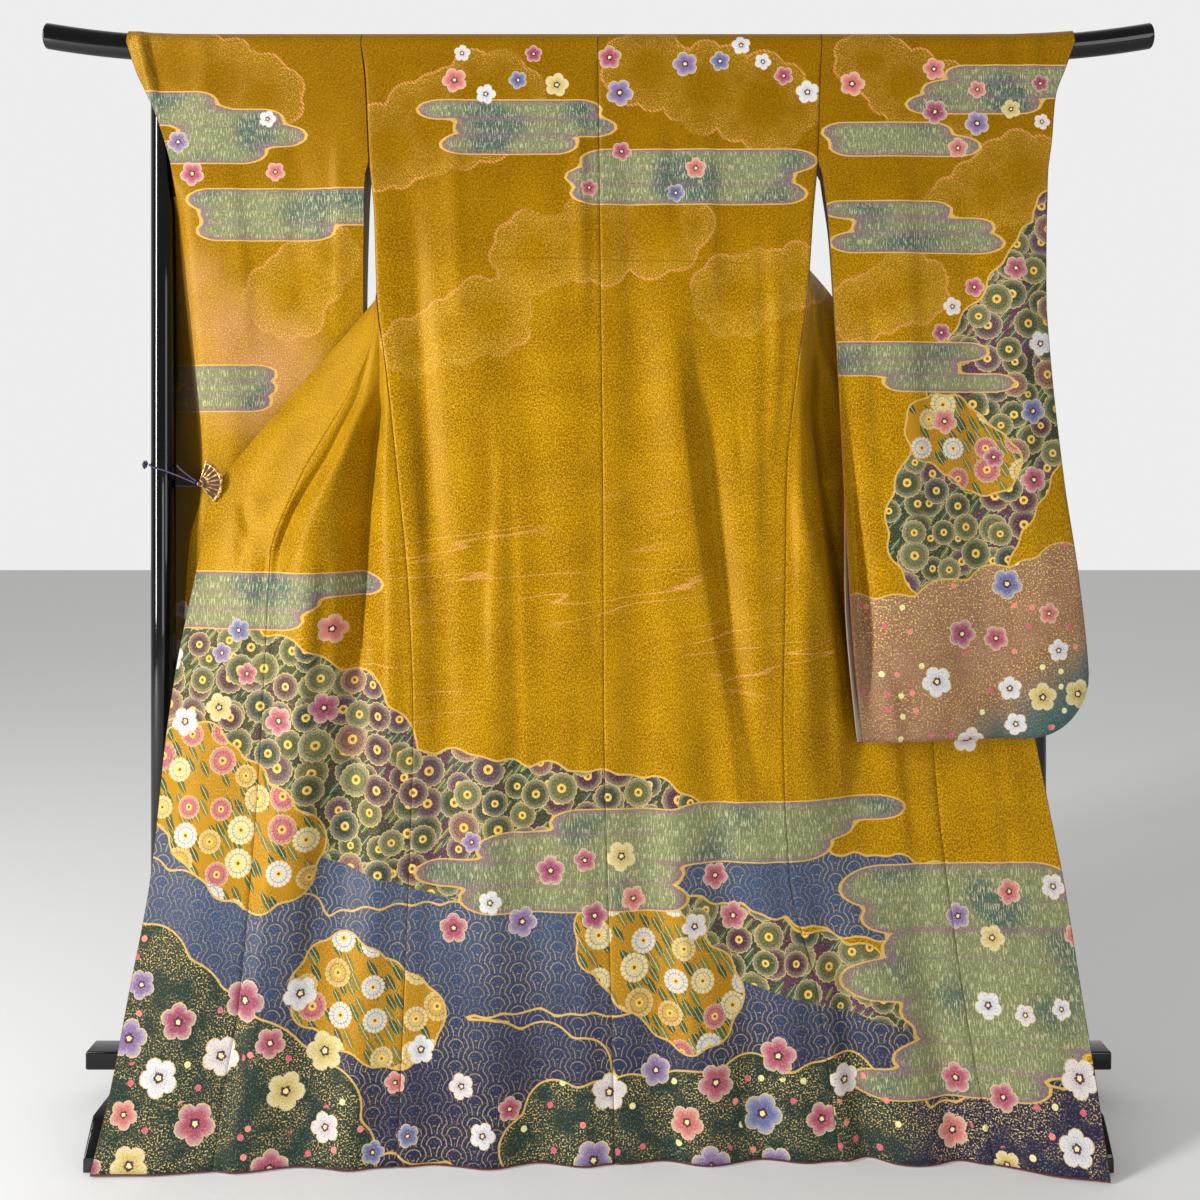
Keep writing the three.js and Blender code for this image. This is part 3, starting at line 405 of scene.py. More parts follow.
def foot_outline():
    """The side of a foot, from its front toe round to the same toe, in millimetres of reach and height."""
    half, top, toe, arch = FOOT["half_length"], FOOT["height"], FOOT["toe"], FOOT["arch"]
    inner = half - FOOT["pad"]

    def bend(a, control, b, steps=8):
        t = np.linspace(0, 1, steps + 1)[1:, None]
        a, control, b = map(np.array, (a, control, b))
        return [tuple(p) for p in (1 - t) ** 2 * a + 2 * t * (1 - t) * control + t**2 * b]

    right = [(0, arch)] + bend((0, arch), (inner - 25, arch), (inner, 0)) + [(half, 0), (half, toe)]
    right += bend((half, toe), (half - 10, toe + 14), (half - 32, top))
    right += [(NOTCH_HALF, top), (NOTCH_HALF, NOTCH_BOTTOM)]
    return right + [(-reach, z) for reach, z in reversed(right) if reach > 0]


for side, sign in (("left", -1), ("right", 1)):
    mesh = bmesh.new()
    half_width = FOOT["width"] / 2
    faces = []
    for x in (-half_width, half_width):
        faces.append([mesh.verts.new(spot(sign * POST_X + x, reach, z)) for reach, z in foot_outline()])
    mesh.faces.new(faces[0])
    mesh.faces.new(faces[1][::-1])
    bridge(mesh, faces[::-1])
    bmesh.ops.recalc_face_normals(mesh, faces=mesh.faces[:])
    rims = [edge for edge in mesh.edges if abs(edge.verts[0].co.x - edge.verts[1].co.x) < 1e-6
            and min(v.co.z for v in edge.verts) > 1 * MM]
    bmesh.ops.bevel(mesh, geom=rims, offset=2.5 * MM, segments=3, profile=0.5, affect="EDGES")
    stand_piece(mesh, f"foot_{side}")


# ---- Left and right body lengths ----
# Each is one length of figured silk satin, dyed and painted, that hangs from the back hem up over
# the rail and down to the front hem. They are sewn together along the centre back.
HEM, ARMHOLE_BOTTOM, SIDE_SEAM_TOP, OKUMI_TOP = 5, 1315, 1122, 1225
TURN_TOP = 1435  # above this height the cloth runs straight up to the rail
OVER_RAIL = RAIL_RADIUS + 1.8  # middle of the cloth's wall round the rail
NECK_SHARE, NECK_ANGLE = 0.27, 108
SEAM_GAP, CLOTH, BODY_WIDTH = 0.3, 2.0, 330
LEAN = 1.35
CENTRE_BACK = [(1494, -1), (1122, 3), (840, 6), (574, 7), (200, 16), (5, 21)]
LEFT = {
    "sign": -1,
    "hem_reach": 210,
    "back": [(1494, -336), (1445, -328), (1315, -320), (1240, -312), (1122, -306), (1000, -289), (880, -274),
             (700, -254), (510, -245), (200, -250), (5, -254)],
    "side": [(1315, -320, -OVER_RAIL), (1270, -316, -8), (1225, -312, 12), (1180, -309, 32), (1122, -306, 46)],
    "seam": [(1494, -86, -OVER_RAIL), (1400, -138, -OVER_RAIL), (1315, -192, -OVER_RAIL), (1270, -217, -OVER_RAIL),
             (1225, -246, -17), (1180, -276, -4), (1122, -307, 38), (1077, -309, 46), (1000, -336, 50),
             (860, -412, 62), (760, -445, 79), (510, -448, 122), (200, -460, 182), (100, -473, 202), (5, -483, 221)],
    "edge": [(1270, -217, -OVER_RAIL), (1225, -241, -19.5), (1180, -272, -14), (1122, -309, 15), (1099, -327, 19),
             (1000, -413, 27), (900, -497, 35), (860, -527, 38), (838, -538, 42), (760, -549, 54), (600, -574, 80),
             (510, -581, 100), (350, -587, 138), (200, -603, 181), (100, -615, 207), (5, -632, 231)],
}
RIGHT = {
    "sign": 1,
    "hem_reach": 196,
    "back": [(1494, 314), (1442, 311), (1315, 306), (1240, 299), (1122, 289), (1000, 271), (880, 257), (700, 251),
             (510, 245), (350, 250), (200, 284), (5, 306)],
    "side": [(1315, 306, -OVER_RAIL), (1270, 302, -8), (1225, 298, 14), (1180, 294, 33), (1122, 289, 46)],
    "seam": [(1494, 86, -OVER_RAIL), (1400, 146, -OVER_RAIL), (1315, 200, -OVER_RAIL), (1270, 228, -OVER_RAIL),
             (1225, 256, -15), (1180, 284, 0), (1122, 302, 24), (1077, 314, 14), (1000, 348, 9), (860, 400, 24),
             (700, 435, 38), (510, 457, 62), (430, 459, 84), (250, 472, 130), (150, 481, 160), (5, 500, 205)],
    "edge": [(1270, 228, -OVER_RAIL), (1225, 251, -18.5), (1180, 286, -13), (1122, 333, -6), (1077, 363, -5),
             (1000, 412, -2), (860, 505, 12), (700, 565, 25), (520, 602, 42), (430, 611, 72), (300, 624, 115),
             (190, 627, 163), (100, 630, 203), (5, 631, 246)],
}
# A fold runs down a panel: its share of the width at top and hem, its width, and its height in
# millimetres at the top, a third of the way down and at the hem.
BACK_FOLDS = {
    "left": [(0.20, 0.14, 0.10, 0, 4, 7), (0.42, 0.36, 0.10, 0, -4, -6), (0.60, 0.58, 0.11, 0, 6, 9),
             (0.86, 0.84, 0.09, 0, -9, -5)],
    "right": [(0.16, 0.22, 0.10, 0, -5, -7), (0.38, 0.42, 0.11, 0, 5, 8), (0.62, 0.66, 0.10, 0, -6, -8),
              (0.84, 0.86, 0.08, 0, 5, 4)],
}
FRONT_FOLDS = {
    "left": [(0.82, 0.44, 0.15, 0, -24, -6), (0.42, 0.12, 0.15, 0, 15, 6), (0.90, 0.74, 0.10, 0, 8, 7)],
    "right": [(0.88, 0.80, 0.11, 0, 12, -14), (0.50, 0.52, 0.19, -6, -23, 8), (0.22, 0.22, 0.12, 0, 0, -10)],
}


def curve_at(rows, z, column=1):
    """One column of a table at heights z, along a curve that never overshoots its rows."""
    rows = sorted(rows)
    heights = np.array([row[0] for row in rows], float)
    values = np.array([row[column] for row in rows], float)
    z = np.clip(np.asarray(z, float), heights[0], heights[-1])
    k = np.clip(np.searchsorted(heights, z, side="right") - 1, 0, len(rows) - 2)
    slope = np.diff(values) / np.diff(heights)
    both = slope[:-1] * slope[1:]
    total = np.where(both > 0, slope[:-1] + slope[1:], 1)
    tangent = np.concatenate([slope[:1], np.where(both > 0, 2 * both / total, 0), slope[-1:]])
    span = np.diff(heights)[k]
    t = (z - heights[k]) / span
    return (values[k] * (1 + 2 * t) * (1 - t) ** 2 + tangent[k] * span * t * (1 - t) ** 2
            + values[k + 1] * t * t * (3 - 2 * t) + tangent[k + 1] * span * t * t * (t - 1))


def smooth(value, low, high):
    t = np.clip((np.asarray(value, float) - low) / (high - low), 0, 1)
    return t * t * (3 - 2 * t)


def mix(a, b, t):
    return a + (b - a) * t


def points_of(x, reach, z):
    return np.stack(np.broadcast_arrays(x, reach, z), -1)


def back_reach(hem_reach, z):
    """The back leans forward from the rail down to the hem, more and more."""
    down = np.maximum(0, (RAIL_HEIGHT - z) / (RAIL_HEIGHT - HEM))
    return OVER_RAIL + (hem_reach - OVER_RAIL) * down**LEAN


def fold_height(folds, share, z, top):
    down = np.clip((top - z) / (top - HEM), 0, 1)
    total = 0
    for at_top, at_hem, width, first, middle, last in folds:
        height = np.where(down < 0.35, mix(first, middle, smooth(down, 0, 0.35)),
                          mix(middle, last, smooth(down, 0.35, 1)))
        total = total + height * np.exp(-(((share - mix(at_top, at_hem, down)) / width) ** 2))
    return total * eased(share, 0.12, 0.12)


def front_line(side, name, z):
    """x and reach of a front's side seam, okumi seam or edge at heights z."""
    z = np.asarray(z, float)
    if name == "side":
        sewn = (z <= SIDE_SEAM_TOP) | (z >= ARMHOLE_BOTTOM)
        x = np.where(sewn, curve_at(side["back"], z), curve_at(side["side"], z))
        reach = np.where(z <= SIDE_SEAM_TOP, back_reach(side["hem_reach"], z), curve_at(side["side"], z, 2))
        return x, reach
    seam = [curve_at(side["seam"], z, column) for column in (1, 2)]
    if name == "seam":
        return seam
    top = side["edge"][0][0]
    return [np.where(z >= top, seam[k - 1], curve_at(side["edge"], z, k)) for k in (1, 2)]


def front_outward(side, z):
    """The way out of a front's cloth, in x and reach: it turns over at the top of the side seam."""
    from_x, from_reach = front_line(side, "side", z)
    to_x, to_reach = front_line(side, "edge", z)
    x, reach = side["sign"] * (from_reach - to_reach), side["sign"] * (to_x - from_x)
    size = np.hypot(x, reach)
    facing = 1 - smooth(z, 880, 1000)
    x, reach = mix(x / size, 0, facing), mix(reach / size, 1, facing)
    size = np.hypot(x, reach)
    return x / size, reach / size


def across_front(side, z):
    """The way along a front towards its edge, in x and reach."""
    x, reach = front_outward(side, z)
    return side["sign"] * reach, -side["sign"] * x


def back_point(side, folds, share, z):
    centre = curve_at(CENTRE_BACK, z) + side["sign"] * SEAM_GAP / 2
    edge = curve_at(side["back"], z) - side["sign"] * SEAM_GAP / 2
    middle = (LEFT["hem_reach"] + RIGHT["hem_reach"]) / 2
    reach = mix(back_reach(middle, z), back_reach(side["hem_reach"], z), share)
    x = mix(centre, edge, share)
    lower = 1 - smooth(z, TURN_TOP, RAIL_HEIGHT)
    creases = crease_height(x, z) * eased(share, 0.04, 0.04) + stitched_dip(share, BODY_WIDTH)
    return points_of(x, reach + fold_height(folds, share, z, RAIL_HEIGHT) + creases * lower, z)


# A crease in the cloth facing front: a line of (across, up) from its start to its end, how far it
# reaches to its left and right, and how high it stands, or below zero how deep it sinks.
CREASES = [
    ([(-306, 1070), (-309, 1052), (-332, 975), (-371, 898), (-421, 821), (-446, 750), (-456, 680)], 7, 13, -9),
    ([(-312, 1040), (-324, 975), (-347, 898), (-392, 821), (-412, 744), (-418, 640)], 13, 20, 8),
    ([(-298, 1060), (-300, 1013), (-299, 975), (-309, 898), (-316, 821), (-319, 744), (-322, 667),
      (-325, 540)], 24, 4, -16),
    ([(-288, 985), (-298, 890), (-302, 821), (-305, 744), (-307, 620)], 4, 14, 5),
    ([(-372, 800), (-370, 740), (-372, 640), (-378, 500)], 10, 14, -6),
    ([(-470, 800), (-476, 720), (-486, 600)], 10, 16, 5),
    ([(-500, 846), (-488, 812), (-476, 780)], 5, 12, -4),
    ([(-540, 835), (-516, 800), (-490, 740)], 6, 10, 3),
    ([(-520, 720), (-536, 560), (-548, 380)], 18, 10, 5),
    ([(-300, 700), (-302, 560), (-296, 380)], 9, 9, -4),
    ([(-420, 500), (-432, 330), (-448, 120)], 22, 14, 5),
    ([(-360, 560), (-366, 400), (-380, 160)], 12, 20, -5),
    ([(263, 894), (290, 784), (304, 720), (322, 600), (327, 531), (330, 400)], 18, 5, 11),
    ([(296, 1100), (302, 960), (318, 860), (338, 740), (356, 620), (364, 500)], 14, 30, -32),
    ([(372, 700), (398, 520), (420, 260)], 18, 10, 5),
    ([(545, 620), (556, 420), (560, 160)], 14, 20, -5),
    ([(203, 968), (202, 940), (202, 920)], 1.8, 3, -3.5),
    ([(188, 985), (190, 930), (196, 860)], 2.5, 5, -2),
    ([(8, 1030), (11, 1000), (8, 966)], 2, 3, -1.8),
    ([(-262, 1300), (-252, 1150), (-236, 900), (-226, 640)], 10, 16, -5),
    ([(-205, 1420), (-196, 1200), (-182, 1010)], 16, 10, 3),
    ([(-156, 1010), (-148, 860), (-156, 700), (-150, 520)], 24, 12, -8),
    ([(-118, 1010), (-104, 800), (-92, 520), (-104, 200)], 10, 22, 6),
    ([(-30, 1430), (-22, 1240), (-18, 1040)], 12, 6, 4.5),
    ([(38, 1400), (44, 1180), (50, 900)], 14, 20, -3),
    ([(84, 1180), (102, 1060), (124, 850), (140, 738), (176, 500), (196, 250)], 26, 10, 9),
    ([(124, 1150), (138, 1000), (158, 800), (172, 700), (208, 490), (226, 300)], 10, 20, -10),
    ([(150, 1390), (156, 1220), (160, 1080)], 15, 9, 3),
    ([(100, 1380), (108, 1280), (112, 1180)], 12, 12, -3),
    ([(224, 1290), (230, 1080), (226, 860), (222, 640)], 9, 13, -4),
    ([(248, 1180), (244, 1010), (232, 850)], 8, 6, 3),
    ([(-30, 700), (-26, 420), (-38, 60)], 16, 11, -4),
    ([(96, 420), (110, 260), (128, 60)], 18, 9, 5),
    ([(-200, 420), (-206, 240), (-210, 20)], 12, 18, 4),
    ([(-520, 1330), (-500, 1180), (-492, 1000)], 16, 9, 3),
    ([(-430, 1420), (-424, 1240), (-420, 1060)], 14, 22, -3),
    ([(-365, 1380), (-362, 1200), (-372, 1020)], 8, 14, 3),
    ([(420, 1400), (428, 1150), (436, 860), (430, 620)], 20, 12, 3),
    ([(520, 1330), (516, 1100), (520, 820), (534, 580)], 16, 24, -4),
    ([(590, 1250), (584, 1000), (598, 740)], 16, 10, 3),
    ([(372, 1200), (380, 960), (392, 700)], 9, 14, -3),
]


def crease_height(x, z):
    """How far the creases move the cloth out at a place on the spread garment."""
    total = 0
    for line, left, right, height in CREASES:
        up = np.array(line, float)[::-1]
        middle = np.interp(z, up[:, 1], up[:, 0])
        length = up[-1, 1] - up[0, 1]
        ends = smooth(z, up[0, 1], up[0, 1] + 0.35 * length)
        ends = ends * (1 - smooth(z, up[-1, 1] - 0.3 * length, up[-1, 1]))
        total = total + height * ends * np.exp(-(((x - middle) / np.where(x < middle, left, right)) ** 2))
    # the slight unevenness of a cloth that has been folded away and hung again
    wide = 0.5 * np.sin(x / 31 + z / 190) * np.sin(z / 77 - x / 60)
    return total + wide + 0.35 * np.sin(x / 17 - z / 260 + 1)


def eased(share, at_start, at_end):
    """1 inside a panel and 0 on its edges, over these shares of its width."""
    return smooth(share, 0, at_start) * smooth(1 - share, 0, at_end)


def stitched_dip(share, width):
    """How far the cloth sinks into the stitching along both edges of a panel."""
    edge = np.minimum(share, 1 - share) * width
    return -1.5 * np.exp(-((edge / 2.2) ** 2))


def half_okumi_gap(z):
    return SEAM_GAP / 2 * (1 + 2 * smooth(z, 1060, 1105))


bar_low, bar_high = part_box("middle_bar")
BAR_FRONT = (POSTS_Y - bar_low.y) / MM
BAR_MIDDLE, BAR_HALF = (bar_low.z + bar_high.z) / 2 / MM, (bar_high.z - bar_low.z) / 2 / MM
BAR_GAP, BAR_SLOPE = 2.2, 0.35  # the cloth hangs off the bar's front face and slopes back past its edges
BAR_REGION = 1000


def front_point(side, folds, share, z):
    """A point on a front. The cloth lies in front of the middle bar, however deep its folds are."""
    seam_x, seam_reach = front_line(side, "seam", z)
    side_x, side_reach = front_line(side, "side", z)
    out_x, _ = front_outward(side, z)
    along_x, along_reach = across_front(side, z)
    gap = half_okumi_gap(z)
    side_gap = SEAM_GAP / 2 + CLOTH / 2 * np.abs(out_x)
    side_x = np.where(z <= SIDE_SEAM_TOP, side_x + side["sign"] * side_gap, side_x)
    x = mix(seam_x - gap * along_x, side_x, share)
    reach = mix(seam_reach - gap * along_reach, side_reach, share)
    below_turn = eased(share, 0.06, 0.06) * (1 - smooth(z, 1010, 1090))
    above_turn = eased(share, 0.1, 0.1) * smooth(z, 1180, 1260)
    creases = crease_height(x, z) * (below_turn + 0.4 * above_turn)
    creases = creases + stitched_dip(share, 0.7 * BODY_WIDTH) * (1 - smooth(z, 1000, 1080))
    reach = reach + fold_height(folds, share, z, SIDE_SEAM_TOP) + creases
    over_bar = BAR_FRONT + BAR_GAP - BAR_SLOPE * np.maximum(abs(z - BAR_MIDDLE) - BAR_HALF, 0)
    return points_of(x, np.where(z < BAR_REGION, np.maximum(reach, over_bar), reach), z)


def round_the_rail(x, degrees):
    """Points on the cloth round the rail, from its front (0) over its top (90) to its back (180)."""
    angle = np.radians(degrees)
    return points_of(x, OVER_RAIL * np.cos(angle), RAIL_HEIGHT + rail_rise(x) + OVER_RAIL * np.sin(angle))


def shares_across(width, pitch=5.5):
    """Shares across a panel, closer together at both seams, where the cloth dips into its stitching."""
    near = np.array([0, 1.3, 2.8, 4.8]) / width
    inner = np.linspace(7.5 / width, 1 - 7.5 / width, max(2, round((width - 15) / pitch)))
    return np.concatenate([near, inner, 1 - near[::-1]])


def grid_quads(rows, columns, present=None, offset=0):
    index = np.arange(rows * columns).reshape(rows, columns)
    quads = np.stack([index[:-1, :-1], index[:-1, 1:], index[1:, 1:], index[1:, :-1]], -1)
    if present is not None:
        quads = quads[present[:-1, :-1] & present[:-1, 1:] & present[1:, 1:] & present[1:, :-1]]
    return quads.reshape(-1, 4) + offset


# The print is laid out on the spread garment, in millimetres across and up. A bank is a scalloped
# cloud bank along a line: its two ends, and its radius at each. A mist is a stack of thin bars.
BANKS = {  # the cloth it is on, then the ends and radii
    "grove": [("body", -580, 610, -380, 500, 110, 130), ("body", -380, 470, -150, 330, 120, 100),
              ("body", -200, 430, 60, 400, 85, 80), ("body", 40, 270, 300, 130, 120, 120),
              ("body", 300, 170, 450, 60, 110, 90), ("right", 650, 1235, 560, 1000, 45, 95),
              ("right", 560, 960, 480, 790, 110, 90), ("left", -600, 560, -420, 540, 60, 70)],
    "water": [("body", -300, 250, 60, 250, 70, 75), ("body", -520, 150, -60, 70, 90, 100),
              ("body", 120, 365, 440, 300, 42, 60), ("body", -600, 300, -420, 260, 70, 80)],
    "brocade": [("body", -540, 470, -450, 390, 75, 85), ("body", -330, 215, -260, 175, 66, 60),
                ("body", 40, 275, 120, 200, 72, 66), ("right", 470, 935, 530, 890, 52, 48)],
    "hem": [("body", -650, 190, -400, 20, 130, 120), ("body", -20, 0, 320, 10, 110, 125),
            ("body", 450, -20, 650, 10, 90, 120)],
    "copper": [("right", 370, 590, 660, 680, 120, 100)],
    "corner": [("right", 560, 490, 700, 545, 45, 80)],
    "peach": [("left", -560, 1150, -480, 1010, 30, 95)],
    "cloud": [("left", -590, 1450, -470, 1400, 70, 60), ("left", -440, 1120, -380, 1180, 60, 46),
              ("body", -290, 1330, -160, 1390, 66, 84), ("body", -90, 1180, 80, 1220, 60, 76),
              ("body", 70, 1440, 230, 1390, 62, 74), ("body", 190, 1120, 280, 1150, 60, 46),
              ("body", -250, 1050, -150, 1090, 46, 60), ("right", 380, 1450, 470, 1390, 50, 66),
              ("right", 590, 1290, 500, 1240, 66, 50), ("right", 360, 1100, 430, 1130, 46, 56)],
}
MISTS = {  # the cloth it is on, middle across and up, length, number of bars, thickness
    "mist": [("left", -590, 1375, 120, 2, 13), ("left", -530, 1335, 170, 3, 15), ("left", -450, 1225, 210, 3, 14),
             ("left", -540, 985, 150, 3, 13), ("body", -120, 1345, 230, 3, 16), ("body", 90, 1275, 280, 3, 15),
             ("right", 560, 1400, 190, 3, 14), ("right", 410, 1330, 170, 2, 13), ("right", 400, 1205, 200, 3, 15),
             ("right", 430, 1010, 190, 3, 14), ("body", 0, 355, 380, 4, 20), ("body", 250, 405, 250, 2, 14),
             ("body", 560, 235, 330, 5, 24), ("body", 500, 110, 300, 3, 20), ("body", -490, 690, 260, 3, 15)],
}
# Sprays of blossoms: middle, spread across and up, how many, and the least and most radius.
BLOSSOM_GAP = 7
SPRAYS = [(-40, 1440, 190, 36, 9, 12, 20), (250, 1440, 120, 34, 6, 12, 19), (-540, 1330, 90, 60, 5, 12, 18),
          (560, 1375, 110, 70, 9, 11, 19), (560, 1020, 110, 160, 10, 13, 21), (560, 620, 120, 110, 12, 15, 24),
          (-500, 110, 170, 110, 26, 18, 27), (150, 50, 170, 80, 18, 18, 26), (540, 50, 120, 70, 8, 16, 24),
          (-480, 600, 130, 80, 10, 14, 21), (0, 340, 190, 60, 12, 13, 20), (560, 260, 110, 90, 8, 13, 20),
          (-200, 90, 120, 70, 7, 14, 20), (90, 1290, 120, 40, 4, 12, 17)]
print_draws = np.random.default_rng(7)


def round_union(distances, soft):
    """The distance to several shapes at once, their inner corners rounded."""
    total = distances[0]
    for other in distances[1:]:
        near = np.clip(0.5 + 0.5 * (other - total) / soft, 0, 1)
        total = mix(other, total, near) - soft * near * (1 - near)
    return total


def bank_shapes(x0, z0, x1, z1, r0, r1):
    """Circles that make one scalloped bank: middle across and up, half length, radius."""
    for share in np.linspace(0, 1, max(3, round(math.dist((x0, z0), (x1, z1)) / 50))):
        x, z, radius = mix(x0, x1, share), mix(z0, z1, share), mix(r0, r1, share)
        yield x, z, 0, radius * 0.78
        for turn in np.arange(0, 2 * np.pi, 0.75) + print_draws.uniform(0, 0.7):
            puff = radius * print_draws.uniform(0.30, 0.42)
            yield x + radius * 0.68 * math.cos(turn), z + radius * 0.62 * math.sin(turn), 0, puff


def mist_shapes(x, z, length, count, thick):
    for k in range(count):
        half = length / 2 * print_draws.uniform(0.5, 1)
        yield (x + print_draws.uniform(-0.28, 0.28) * length, z - (k - count / 2) * thick * 1.55, half,
               thick * print_draws.uniform(0.8, 1.1))


SHAPES = {name: [(on, list(bank_shapes(*bank))) for on, *bank in banks] for name, banks in BANKS.items()}
SHAPES |= {name: [(on, list(mist_shapes(*mist))) for on, *mist in mists] for name, mists in MISTS.items()}
FAR_OFF = 0.5  # the distance given where a cloth has no such shape
BLOSSOMS = []
for x, z, wide, high, count, least, most in SPRAYS:
    for _ in range(count * 6):
        radius = print_draws.uniform(least, most)
        place = x + print_draws.uniform(-wide, wide), z + print_draws.uniform(-high, high)
        if count and all(math.dist(place, other[:2]) > radius + other[2] + BLOSSOM_GAP for other in BLOSSOMS):
            BLOSSOMS.append((*place, radius, print_draws.uniform()))
            count -= 1


def print_on(mesh, design, quads, cloth_name, seam):
    """Gives a cloth mesh its distances to the print's shapes and seams, in metres, and to each face its
    nearest blossom."""
    x, z = design[:, 0], design[:, 1]

    def give(name, kind, field, values, domain="POINT"):
        mesh.attributes.new(name, kind, domain).data.foreach_set(field, values.astype(np.float32).ravel())

    for name, groups in SHAPES.items():
        soft = {"mist": 7, "cloud": 2}.get(name, 10)
        whole = [round_union([np.hypot(np.maximum(abs(x - mx) - half, 0) * 0.42, z - mz) - r if half else
                              np.hypot(x - mx, z - mz) - r for mx, mz, half, r in shapes], soft)
                 for on, shapes in groups if on == cloth_name]
        give(name, "FLOAT", "value", round_union(whole, 3) * MM if whole else np.full(len(x), FAR_OFF))
    give("seam", "FLOAT", "value", seam * MM)
    blossoms, middle = np.array(BLOSSOMS), design[quads].mean(1)
    away = np.hypot(middle[:, :1] - blossoms[:, 0], middle[:, 1:] - blossoms[:, 1]) / blossoms[:, 2]
    nearest = blossoms[away.argmin(1)]
    give("blossom", "FLOAT_VECTOR", "vector", nearest[:, :3] * MM, "FACE")
    give("blossom_kind", "FLOAT", "value", nearest[:, 3], "FACE")


FINISHES = {}  # the silk and its lining, made below
BOLT_STEP = 3700


def cloth_piece(node, points, quads, cloth, design, printed="body"):
    """A cloth piece: points and quads of its middle, the map its weave lies by (across and down the cut
    cloth) and the map its print lies by (across and up the spread garment), all in millimetres."""
    seam = np.minimum(cloth[:, 0], cloth[:, 0].max() - cloth[:, 0])
    used, compact = np.unique(quads, return_inverse=True)
    quads = compact.reshape(-1, 4)
    points, cloth, design, seam = points[used], cloth[used], design[used], seam[used]
    cloth = cloth + BOLT_STEP * len(bpy.data.objects)  # each piece is cut from its own stretch of the bolt
    mesh = bpy.data.meshes.new(f"{node}_silk")
    place = np.column_stack([points[:, 0] * MM, POSTS_Y - points[:, 1] * MM, points[:, 2] * MM])
    mesh.from_pydata(place.tolist(), [], quads.tolist())
    corners = quads.reshape(-1)
    for label, values in (("cloth", cloth), ("design", design)):
        at_corners = (values * MM)[corners].astype(np.float32)
        mesh.uv_layers.new(name=label).data.foreach_set("uv", at_corners.ravel())
    print_on(mesh, design, quads, printed, seam)
    mesh.shade_smooth()
    for finish in ("silk", "lining", "edge"):
        mesh.materials.append(FINISHES[finish])
    piece = set_in_place(f"{node}_silk", mesh, node)
    wall = piece.modifiers.new("wall", "SOLIDIFY")
    wall.thickness, wall.offset = (CLOTH - 0.1) * MM, 0
    wall.material_offset, wall.material_offset_rim = 1, 2
    return piece


def petals(silk, dx, dz, count, depth, turn=0.0):
    """How far out a point lies on a flower of radius 1 with lobed petals, its angle, and how near it is
    to the middle of a petal."""
    angle = silk.math("ARCTAN2", dz, dx) + turn
    lobe = abs(silk.math("COSINE", angle * (count / 2)))
    return silk.far(dx, dz) / silk.level(1 - depth, 1.0, silk.math("POWER", lobe, 0.6)), angle, lobe


def cells(silk, x, z, pitch, randomness):
    """Scattered points about a pitch apart: the way from the nearest, in metres, and two numbers that
    each point draws."""
    inputs = {"Vector": silk.flat(x, z), "Scale": 1 / pitch, "Randomness": randomness}
    made = silk.node("ShaderNodeTexVoronoi", inputs, voronoi_dimensions="2D")
    point_x, point_z = silk.split(Field(silk, made.outputs["Position"]), 2)
    drawn = silk.node("ShaderNodeSeparateColor", {0: Field(silk, made.outputs["Color"])})
    return x - point_x, z - point_z, Field(silk, drawn.outputs[0]), Field(silk, drawn.outputs[1])


def colours_by(silk, number, stops):
    """Steps from colour to colour as a number goes from 0 to 1."""
    made = silk.node("ShaderNodeValToRGB", {0: number})
    ramp = made.color_ramp
    ramp.interpolation = "CONSTANT"
    while len(ramp.elements) < len(stops):
        ramp.elements.new(1)
    for k, (element, colour) in enumerate(zip(ramp.elements, stops)):
        element.position, element.color = k / len(stops), ink(*colour)
    return Field(silk, made.outputs[0])


def chrysanthemums(silk, ground, x, z, pitch, colours, size):
    """Round many-petalled heads close together on a ground."""
    dx, dz, draw, other = cells(silk, x, z, pitch, 0.62)
    radius = silk.level(pitch * size * 0.72, pitch * size, other)
    out, _, lobe = petals(silk, dx / radius, dz / radius, 16, 0.10, draw * 6.28)
    head = silk.blend(colours_by(silk, draw, colours), ink(214, 204, 168), silk.step(out, 0.45, 1.0) * 0.30)
    between = silk.step(lobe, 0.30, 0.05) * silk.step(out, 0.28, 0.4)
    head = silk.blend(head, ink(70, 45, 60), between * 0.75)
    head = silk.blend(head, ink(60, 42, 55), silk.step(abs(out - 0.62), 0.05, 0.02) * 0.5)
    for colour, low, high in (((232, 190, 92), 0.30, 0.26), ((120, 78, 40), 0.14, 0.10), ((206, 176, 110), 0.90, 0.94)):
        head = silk.blend(head, ink(*colour), silk.step(out, low, high))
    return silk.blend(ground, head, silk.step(out, 1.0, 0.95))


def leaves(silk, ground, x, z, pitch, colours, tilt):
    """Pointed leaves with a pale vein, all leaning one way."""
    lean, rise = math.cos(tilt), math.sin(tilt)
    u, v = x * lean + z * rise, (z * lean - x * rise) * 2.3
    du, dv, draw, present = cells(silk, u, v, pitch, 0.8)
    du, dv = du / (pitch * 0.48), dv / (pitch * 0.48)
    out = silk.far(du, dv) + abs(dv) * 0.25
    leaf = silk.blend(colours_by(silk, draw, colours), ink(196, 204, 160), silk.step(abs(dv), 0.10, 0.04) * 0.8)
    leaf = silk.blend(leaf, ink(30, 42, 38), silk.step(out, 0.86, 0.94) * 0.6)
    return silk.blend(ground, leaf, silk.step(out, 1.0, 0.95) * silk.step(present, 0.25, 0.26))


